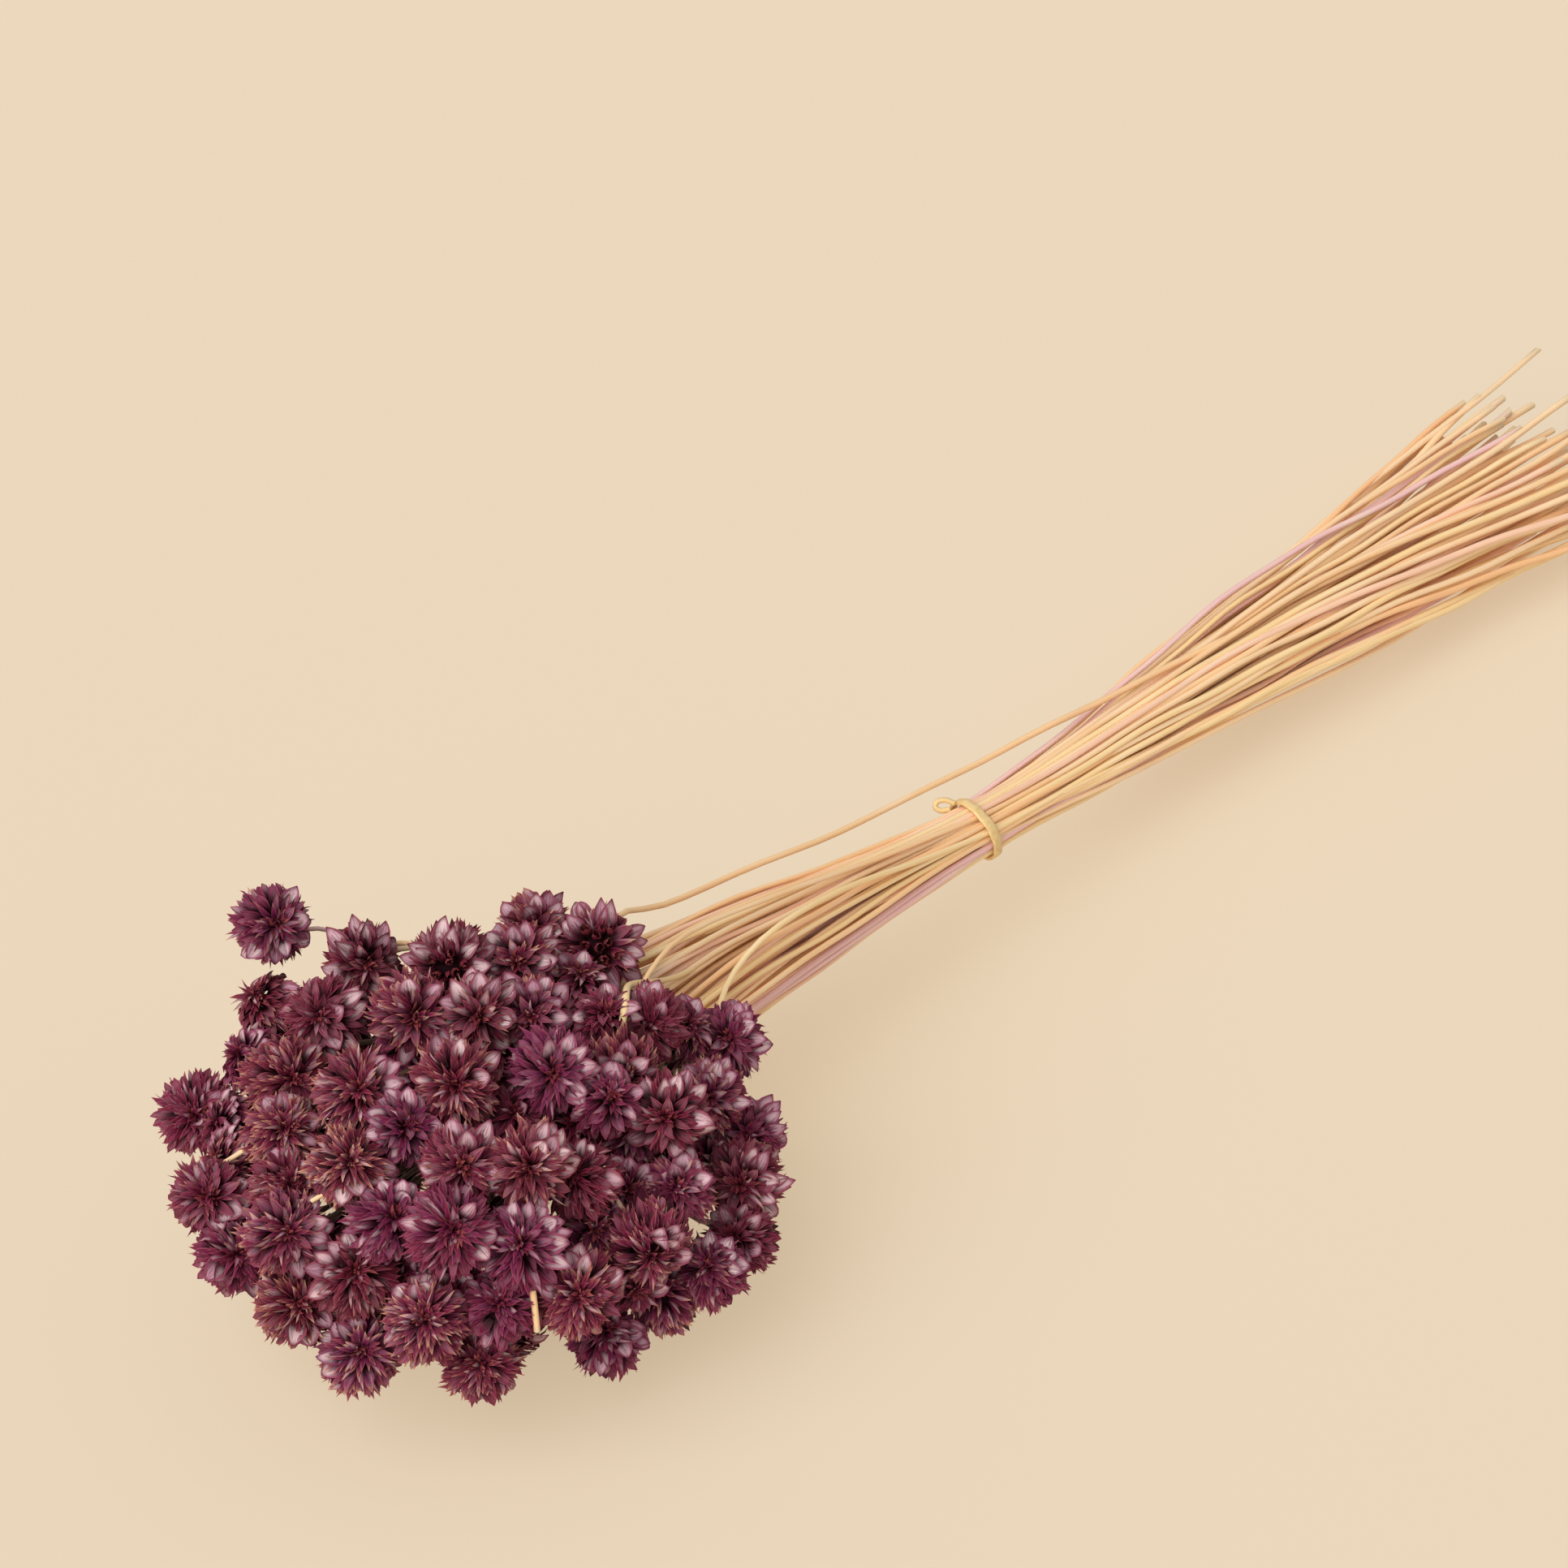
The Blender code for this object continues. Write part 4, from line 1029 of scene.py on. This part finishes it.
    def knots(self):
        """The closed florets in the middle of a rosette, each a knot of small pointed petals."""
        dice = self.dice
        for number, away in KNOT_RINGS:
            for knot in range(number):
                angle = math.radians(away) + dice.normal(0, KNOT_STRAY[0])
                turn = (knot + away / KNOT_RING_SHIFT) * math.tau / number
                turn = turn + dice.normal(0, KNOT_STRAY[1])
                spot = self.ways(np.array([abs(angle)]), np.array([turn]))[0][0]
                side = unit(np.cross(spot, self.over + 0.01))
                turns = np.arange(KNOT_PETALS) * math.tau / KNOT_PETALS + dice.uniform(0, 1)
                ring = circle(turns, side, np.cross(spot, side))
                size = self.radius * dice.uniform(*KNOT_SIZE)
                height = self.radius * dice.uniform(*KNOT_HEIGHT)
                spread_out = dice.uniform(*KNOT_SPREAD, (KNOT_PETALS, 1))
                root, bend, tip = (
                    self.middle + spot * (height + rise * size) + ring * size * outward
                    for rise, outward in (KNOT_ROOT, KNOT_BEND, (KNOT_TIP, spread_out))
                )
                made = leaves(
                    root, bend, tip, spot - KNOT_LOOK * ring, np.full(KNOT_PETALS, size * KNOT_WIDTH),
                    KNOT_OUTLINE, LENS_SECTION, dice.uniform(*KNOT_CUP, KNOT_PETALS),
                    dice.normal(0, KNOT_TWIST, KNOT_PETALS), dice.uniform(0, 1, KNOT_PETALS),
                )
                self.parts.append((*made, KNOT_KIND))


def fine_head(index, flowers):
    """The parts of one head, with what each is, how far out it lies and the head's own chance."""
    head = Head(index, flowers)
    head.core()
    head.eye()
    head.clusters()
    if head.outermost:
        head.bristles()
    head.middles()
    head.under()
    head.broad()
    if head.style is ROSETTE:
        head.knots()
    chance = head.dice.uniform(0, 1)
    parts = []
    for corners, faces, tint, kind in head.parts:
        depth = slope(norm(corners - head.middle, axis=1), 0.0, head.radius)
        parts.append((corners, faces, tint, marks((len(corners),), kind, depth, chance)))
    return parts


def add_object(name, data):
    """A new object in the scene."""
    made = bpy.data.objects.new(name, data)
    bpy.context.scene.collection.objects.link(made)
    return made


def add_piece(name, parts, material, node):
    """One visible piece from its parts, which rides on the only body and stands for its node."""
    start = 0
    faces = []
    for points, blocks, _, _ in parts:
        for block in blocks:
            faces.extend((block + start).tolist())
        start += len(points)
    corners, tints, shades = (np.concatenate([part[k] for part in parts]) for k in (0, 2, 3))
    corners[:, 2] = np.maximum(corners[:, 2], LOWEST_POINT)
    mesh = bpy.data.meshes.new(name)
    mesh.from_pydata(corners.tolist(), [], faces)
    for label, values in (("tint", tints), ("shade", shades)):
        layer = mesh.attributes.new(label, "FLOAT_COLOR", "POINT")
        layer.data.foreach_set("color", values.astype(np.float32).ravel())
    mesh.shade_smooth()
    mesh.set_sharp_from_angle(angle=SHARP_ANGLE)
    mesh.materials.append(material)
    made = add_object(name, mesh)
    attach(made, "root")
    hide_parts(node)


def make_heads(flowers, groups, material):
    """A fine piece for each node of heads."""
    for number, group in enumerate(groups, 1):
        parts = [part for index in group for part in fine_head(index, flowers)]
        add_piece(f"bracts_{number:02d}", parts, material, f"blooms_{number:02d}")


def lengths_along(path):
    """How far along a path each of its points is."""
    return np.concatenate([[0.0], np.cumsum(norm(np.diff(path, axis=0), axis=1))])


def smooth_path(points, step):
    """Many points along a smooth curve through a few."""
    points = np.array(points)
    gaps = np.sqrt(norm(np.diff(points, axis=0), axis=1))
    knots = np.concatenate([[0.0], np.cumsum(gaps)])
    slopes = np.gradient(points, knots, axis=0)
    path = []
    for k in range(len(points) - 1):
        width = knots[k + 1] - knots[k]
        count = max(3, int(round(norm(points[k + 1] - points[k]) / step)))
        t = np.linspace(0.0, 1.0, count, endpoint=False)[:, None]
        path.append(
            (2 * t ** 3 - 3 * t ** 2 + 1) * points[k] + (t ** 3 - 2 * t ** 2 + t) * width * slopes[k]
            + (3 * t ** 2 - 2 * t ** 3) * points[k + 1] + (t ** 3 - t ** 2) * width * slopes[k + 1]
        )
    path.append(points[-1:])
    return np.concatenate(path)


def tube(path, radii, chance, cut=0.0):
    """A closed, faintly fluted tube along a path, with its far end cut at a slant."""
    along = normed(np.gradient(path, axis=0))
    side = normed(np.cross(along, np.broadcast_to([0.0, 0.0, 1.0], along.shape)) + 1e-9)
    over = np.cross(side, along)
    turns = np.arange(FINE_SIDES) / FINE_SIDES * math.tau
    swell = 1 + FLUTE_DEPTH * np.cos(FLUTES * turns + chance * FLUTE_SHIFT)
    ring = circle(turns, side[:, None], over[:, None])
    corners = path[:, None] + ring * (radii[:, None] * swell)[..., None]
    corners[-1] += along[-1] * (cut * np.cos(turns))[:, None]
    shape = (len(path), FINE_SIDES)
    share = (lengths_along(path) / TINT_LENGTH)[:, None]
    tint = marks(shape, share, np.abs(2 * turns / math.tau - 1), chance)
    is_cut = np.zeros(shape)
    is_cut[-1] = 1.0
    return corners.reshape(-1, 3), tube_faces(*shape), tint, marks(shape, is_cut, 0.0, 0.0)


def fine_stem(index, flower):
    """One stem, smooth, with its flare under the head and its slanting cut."""
    dice = np.random.default_rng(STEM_SEED + index)
    pixel = flower.pixel
    root_depth = ROOT_IN_HEAD * flower.radius
    root = flower.place - flower.face * root_depth
    path = smooth_path([root] + list(flower.route), FINER_STEP if pixel in THICKER else FINE_STEP)
    if pixel in THICKER:
        for _ in range(ROUNDING):
            path[1:-1] = (path[:-2] + 2 * path[1:-1] + path[2:]) / 4
    lengths = lengths_along(path)
    sway = slope(lengths, 0.0, WAVER_STARTS) * WAVER
    station = path[:, 0] - HEADS_X
    before = slope(station, DRIFT_STARTS, BAND_X - DRIFT_STARTS)
    after = slope(station, BAND_X, END_X[1] - BAND_X)
    from_band = slope(np.abs(station - BAND_X), 0.0, BAND_HOLDS_OVER)
    loose = LEAST_WAVER + (1 - LEAST_WAVER) * from_band
    for axis in (1, 2):
        starts = dice.uniform(0, math.tau, len(WAVES))
        wave = sum(size * np.sin(lengths * rate + start) for (rate, size), start in zip(WAVES, starts))
        path[:, axis] += wave * sway * loose
        for size, share in zip(DRIFT, (before, after)):
            path[:, axis] += dice.normal(0, size) * np.sin(math.pi * share)
    radii = np.interp(station, FINE_STATIONS, FINE_RADII) * dice.uniform(*RADIUS_SPREAD)
    radii = radii + FLARE_AT_HEAD * (1 - slope(lengths, root_depth, FLARE_LENGTH))
    near_head = 1 - slope(lengths, 0.0, THICKER_LENGTH)
    radii = radii * (1 + (THICKER.get(pixel, 1.0) - 1) * near_head)
    path[:, 2] = np.maximum(path[:, 2], radii)
    cut = dice.uniform(-CUT_SLANT, CUT_SLANT)
    points, faces, tint, shade = tube(path, radii, dice.uniform(0, 1), cut)
    # How far into the egg shape of the flowers each point lies: stems that the picture doesn't lead get
    # painted shade deep inside it
    inside = norm((points - HEADS_MIDDLE) / HEADS_REACH, axis=1)
    if pixel not in GUIDED:
        shade[:, 1] = slope(inside, SHADED_FROM, -SHADED_OVER)
    return points, faces, tint, shade


def make_stems(flowers, material):
    """All the stems, and the short stretches of stem among the flowers."""
    parts = [fine_stem(index, flower) for index, flower in enumerate(flowers)]
    for number, (pixels, sunk, radius) in enumerate(BITS):
        path = [place_seen(x, y, sunk / 1000) for x, y in pixels]
        path = smooth_path(path, FINER_STEP) if len(path) > 2 else np.linspace(*path, BIT_POINTS)
        chance = number * BIT_CHANCE_STEP % BIT_CHANCES
        parts.append(tube(path, np.full(len(path), radius / 1000), chance))
    add_piece("flower_stems", parts, material, "stems")


def softened(values):
    """A circle's sines or cosines, drawn out towards those of a rounded square."""
    return np.sign(values) * np.abs(values) ** BAND_ROUNDNESS


def make_band(material):
    """The rubber band: a soft-edged strap round the stems, and the twisted end of its loop."""
    turns = np.arange(BAND_STEPS) / BAND_STEPS * math.tau
    round_about = circle(turns, np.array([0.0, 1.0, 0.0]), np.array([0.0, 0.0, 1.0]))
    lean = -math.tan(BAND_LEAN) * np.sin(turns) - math.tan(BAND_TURN) * np.cos(turns)
    ripple = 1
    for number, depth, start in BAND_RIPPLES:
        ripple = ripple + depth * np.sin(number * turns + start)
    path = axis_at(BAND_X) + round_about * (HUG_RADIUS * ripple)[:, None]
    path[:, 0] += HUG_RADIUS * lean
    forward = normed(np.roll(path, -1, axis=0) - np.roll(path, 1, axis=0))
    wide = normed(np.cross(forward, round_about))
    out = np.cross(wide, forward)
    corners_at = np.arange(BAND_CORNERS) / BAND_CORNERS * math.tau
    across = softened(np.cos(corners_at))
    level = softened(np.sin(corners_at))
    width = BAND_HALF_WIDTH * (1 + BAND_WIDENS[1] * np.sin(BAND_WIDENS[0] * turns))
    corners = path[:, None] + wide[:, None] * (width[:, None] * across)[..., None]
    corners = corners + out[:, None] * (BAND_HALF_THICKNESS * level)[None, :, None]
    shape = (BAND_STEPS, BAND_CORNERS)
    grid = np.arange(BAND_STEPS * BAND_CORNERS).reshape(shape)
    faces = [ring_faces(np.vstack([grid, grid[:1]]))]
    tint = marks(shape, np.abs(turns / math.pi - 1)[:, None], 0.5 + 0.5 * across, 0.5)
    parts = [(corners.reshape(-1, 3), faces, tint, marks(shape))]
    top = max(path, key=lambda point: (point - EYE) @ UP)
    distance = (EYE - top) @ NEAR
    end = smooth_path([EYE + distance * sight(x, y) for x, y in LOOP_END], LOOP_STEP)
    parts.append(tube(end, np.full(len(end), LOOP_RADIUS), LOOP_CHANCE))
    add_piece("elastic_band", parts, material, "rubber_band")


class Graph:
    """A material's nodes, added one at a time."""

    def __init__(self, name):
        self.material = bpy.data.materials.new(name)
        self.material.use_nodes = True
        self.tree = self.material.node_tree
        self.shader = self.tree.nodes["Principled BSDF"]

    def put(self, value, socket):
        """Links a socket, or sets a number or colour."""
        if isinstance(value, bpy.types.NodeSocket):
            self.tree.links.new(value, socket)
        elif isinstance(value, tuple) and len(value) == 3 and socket.type == "RGBA":
            socket.default_value = (*value, 1.0)
        else:
            socket.default_value = value

    def node(self, kind, *values, **settings):
        """A node with its settings, whose first inputs are linked or set."""
        node = self.tree.nodes.new("ShaderNode" + kind)
        for name, value in settings.items():
            setattr(node, name, value)
        for value, socket in zip(values, node.inputs):
            self.put(value, socket)
        return node

    def maths(self, operation, *values):
        """The result of a sum on numbers."""
        return self.node("Math", *values, operation=operation).outputs[0]

    def times(self, first, *others):
        """The product of numbers."""
        for other in others:
            first = self.maths("MULTIPLY", first, other)
        return first

    def line(self, value, factor, shift):
        """A number times a factor, plus a shift."""
        return self.maths("MULTIPLY_ADD", value, factor, shift)

    def span(self, value, low, high, to_low=0.0, to_high=1.0):
        """A number moved smoothly from one range to another, and held inside it."""
        values = (value, low, high, to_low, to_high)
        return self.node("MapRange", *values, interpolation_type="SMOOTHSTEP").outputs[0]

    def mix(self, share, one, other, blend="MIX"):
        """One colour over another."""
        node = self.node("Mix", share, data_type="RGBA", blend_type=blend)
        colours = [socket for socket in node.inputs if socket.type == "RGBA"]
        self.put(one, colours[0])
        self.put(other, colours[1])
        return next(socket for socket in node.outputs if socket.type == "RGBA")

    def ramp(self, value, stops, step="LINEAR"):
        """A colour for each number."""
        node = self.node("ValToRGB", value)
        node.color_ramp.interpolation = step
        elements = node.color_ramp.elements
        while len(elements) < len(stops):
            elements.new(1.0)
        for element, (position, colour) in zip(elements, stops):
            element.position = position
            element.color = (*colour, 1.0)
        return node.outputs[0]

    def channels(self, name):
        """The three numbers that the mesh keeps under a name."""
        colour = self.node("Attribute", attribute_name=name).outputs["Color"]
        return tuple(self.node("SeparateColor", colour).outputs)

    def noise(self, coordinates, scale, detail=3.0):
        """Noise between 0 and 1 at three coordinates, or at the point itself where there are none."""
        joined = [self.node("CombineXYZ", *coordinates).outputs[0]] if coordinates else []
        node = self.node("TexNoise", *joined)
        for name, value in (("Scale", scale), ("Detail", detail), ("Roughness", NOISE_ROUGHNESS)):
            node.inputs[name].default_value = value
        return node.outputs[0]

    def streaks(self, across, along, shift, narrow, short):
        """Noise drawn out along a piece, and different on each."""
        return self.noise((self.line(across, narrow, shift), self.times(along, short), shift), 1.0)

    def bump(self, height, strength, distance):
        """Raises the surface by a height."""
        node = self.node("Bump", strength, distance)
        self.put(height, node.inputs["Height"])
        self.put(node.outputs[0], self.shader.inputs["Normal"])

    def set(self, **values):
        """Sets or links the shader's own inputs."""
        for name, value in values.items():
            self.put(value, self.shader.inputs[name.replace("_", " ")])


def petal_material():
    """Dry, papery bracts: wine to magenta, with dark veins, pale rims partly painted as highlight, tan
    tips, pale silky middles partly painted as sheen, and painted shade towards their roots.
    """
    g = Graph("petals")
    along, across, chance = g.channels("tint")
    kind, depth, head = g.channels("shade")
    edge = g.maths("ABSOLUTE", g.line(across, 2.0, -1.0))
    shift = g.times(chance, 57.0)
    veins = g.span(g.streaks(across, along, shift, 12.0, 1.3), 0.32, 0.68)
    patch = g.streaks(across, along, shift, 1.6, 1.8)

    # Its own colour by its own and its head's chance, streaked, with a paler rim: partly the bract's
    # own margin, partly painted highlight along its edge
    body = g.ramp(g.maths("ADD", g.times(chance, 0.35), g.times(head, 0.65)), BODIES)
    colour = g.mix(g.times(veins, 0.6), body, g.mix(0.5, body, STREAK))
    colour = g.mix(g.times(g.span(edge, 0.68, 1.0), 0.50), colour, RIM_AND_HIGHLIGHT)

    # Dry tips on narrow bracts, more of them on some heads
    outer = g.span(kind, 0.2, 0.5)
    tips = g.span(g.line(veins, 0.18, along), 0.70, 1.10)
    tan_share = g.line(g.maths("FRACT", g.times(head, 7.31)), 0.9, g.times(chance, 0.6))
    tan_share = g.span(tan_share, 0.45, 1.35, 0.06, 0.95)
    tips = g.times(tips, g.times(g.span(kind, 0.90, 0.70), outer), tan_share)
    colour = g.mix(tips, colour, g.mix(chance, *DRY_TIPS))

    # Pale, silky middles of broad bracts, and a little on a few others: partly their own pale colour
    # and partly painted sheen
    silk_sheen = g.times(
        g.span(along, 0.12, 0.45), g.span(along, 1.0, 0.72), g.span(edge, 0.95, 0.35),
        g.span(g.line(veins, 0.35, patch), 0.40, 0.78, 0.30, 1.0),
        g.maths("MAXIMUM", g.span(kind, 0.75, 0.95), g.span(chance, 0.74, 0.98, 0.0, 0.60)), outer,
    )
    colour = g.mix(g.times(silk_sheen, 0.92), colour, g.mix(chance, *SILK_AND_SHEEN))

    # Florets, then painted shade towards the roots, the middle of the head and the leaves under it, on
    # top of the bracts' own darker bases, and the near-black core, partly painted shade
    buds = g.times(g.span(kind, 0.15, 0.28), g.span(kind, 0.5, 0.35), 0.7)
    colour = g.mix(buds, colour, g.mix(chance, *BUDS))
    unshaded_depth = g.times(g.span(depth, 0.52, 0.98, 0.06, 1.0), g.span(kind, 0.08, 0.22, 0.30, 1.0))
    unshaded_share = g.times(g.span(along, 0.0, 0.65, 0.15, 1.0), unshaded_depth)
    colour = g.mix(1.0, colour, g.ramp(unshaded_share, PAINTED_SHADE), "MULTIPLY")
    colour = g.mix(g.span(kind, 0.06, 0.02), colour, CORE)
    g.bump(veins, 0.35, 0.00012)
    rough = g.maths("MAXIMUM", g.span(veins, 0.0, 1.0, 0.64, 0.46), g.span(kind, 0.2, 0.02))
    g.set(Base_Color=colour, Roughness=rough, Specular_IOR_Level=0.20)
    return g.material


def stem_material():
    """Straw: most stems gold, some peach, yellow or lilac, with a fine grain along them, and painted
    shade where they run deep inside the mass of flowers.
    """
    g = Graph("straw")
    along, around, chance = g.channels("tint")
    cut, inside, _ = g.channels("shade")
    shift = g.times(chance, 91.0)
    grain = g.streaks(around, along, shift, 5.0, 14.0)
    blotch = g.noise((g.times(along, 22.0), shift, around), 1.0, 2.0)
    straw = g.ramp(chance, STRAWS, "CONSTANT")
    colour = g.mix(g.span(grain, 0.30, 0.72), g.mix(0.12, straw, GRAIN), straw)
    colour = g.mix(g.times(g.span(blotch, 0.45, 0.75), 0.7), colour, g.mix(0.45, straw, BLEACHED))
    colour = g.mix(g.times(g.span(blotch, 0.42, 0.22), 0.18), colour, STAIN)
    colour = g.mix(cut, colour, CUT_END)
    # Painted shade on the stems deep inside the mass of flowers
    colour = g.mix(g.times(inside, 0.96), colour, SHADE_IN_MASS)
    g.bump(grain, 0.4, 0.0001)
    g.set(Base_Color=colour, Roughness=g.span(grain, 0.2, 0.8, 0.60, 0.42), Specular_IOR_Level=0.45)
    return g.material


def band_material():
    """Cream-yellow rubber with a dusty, slightly mottled surface."""
    g = Graph("rubber")
    along, across, _ = g.channels("tint")
    mottle = g.noise((g.times(along, 18.0), g.times(across, 2.5), 0.0), 1.0)
    g.bump(mottle, 0.2, 0.0001)
    g.set(Base_Color=g.mix(g.span(mottle, 0.3, 0.7), *RUBBERS))
    g.set(Roughness=g.span(mottle, 0.2, 0.8, 0.5, 0.62))
    return g.material


def floor_material():
    """Matt cream paper with a faint tooth."""
    g = Graph("cream_paper")
    g.bump(g.noise(None, 900.0), 0.05, 0.0001)
    g.set(Base_Color=g.mix(g.span(g.noise(None, 3.0, 2.0), 0.3, 0.7), *PAPERS), Roughness=0.9)
    g.set(Emission_Color=PAPER_GLOW, Emission_Strength=PAPER_GLOW_STRENGTH)
    return g.material


def make_floor(material):
    """The pale floor that the bunch lies on."""
    bpy.ops.mesh.primitive_plane_add(size=FLOOR_SIZE, location=(0, 0, 0))
    floor = bpy.context.object
    floor.name = "floor"
    floor.data.materials.append(material)


def make_camera():
    """The photograph's view."""
    data = bpy.data.cameras.new("camera")
    data.lens = LENS
    data.sensor_width = SENSOR
    data.clip_start, data.clip_end = CLIP
    camera = add_object("camera", data)
    turned = Matrix((RIGHT, UP, NEAR)).transposed().to_4x4()
    camera.matrix_world = Matrix.Translation(Vector(EYE)) @ turned
    bpy.context.scene.camera = camera


def make_lights():
    """Soft studio light: a lamp as even as a far, wide window, from the upper left, in a pale room."""
    level_near = unit(np.array([NEAR[0], NEAR[1], 0.0]))
    way = np.array([0.0, 0.0, 1.0]) - KEY_LEFT * RIGHT + KEY_FRONT * level_near
    data = bpy.data.lights.new("key", "SUN")
    data.angle = KEY_SPREAD
    data.energy = KEY_STRENGTH
    data.color = KEY_COLOUR
    light = add_object("key", data)
    light.rotation_euler = Vector(way).to_track_quat("Z", "Y").to_euler()
    world = bpy.data.worlds.new("studio")
    bpy.context.scene.world = world
    world.use_nodes = True
    background = world.node_tree.nodes["Background"]
    background.inputs["Color"].default_value = STUDIO_COLOUR
    background.inputs["Strength"].default_value = STUDIO_STRENGTH
    bpy.context.scene.view_settings.view_transform = "Standard"


def main():
    """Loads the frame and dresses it."""
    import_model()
    make_camera()
    make_lights()
    make_floor(floor_material())
    flowers, groups = lay_out()
    make_heads(flowers, groups, petal_material())
    make_stems(flowers, stem_material())
    make_band(band_material())


main()
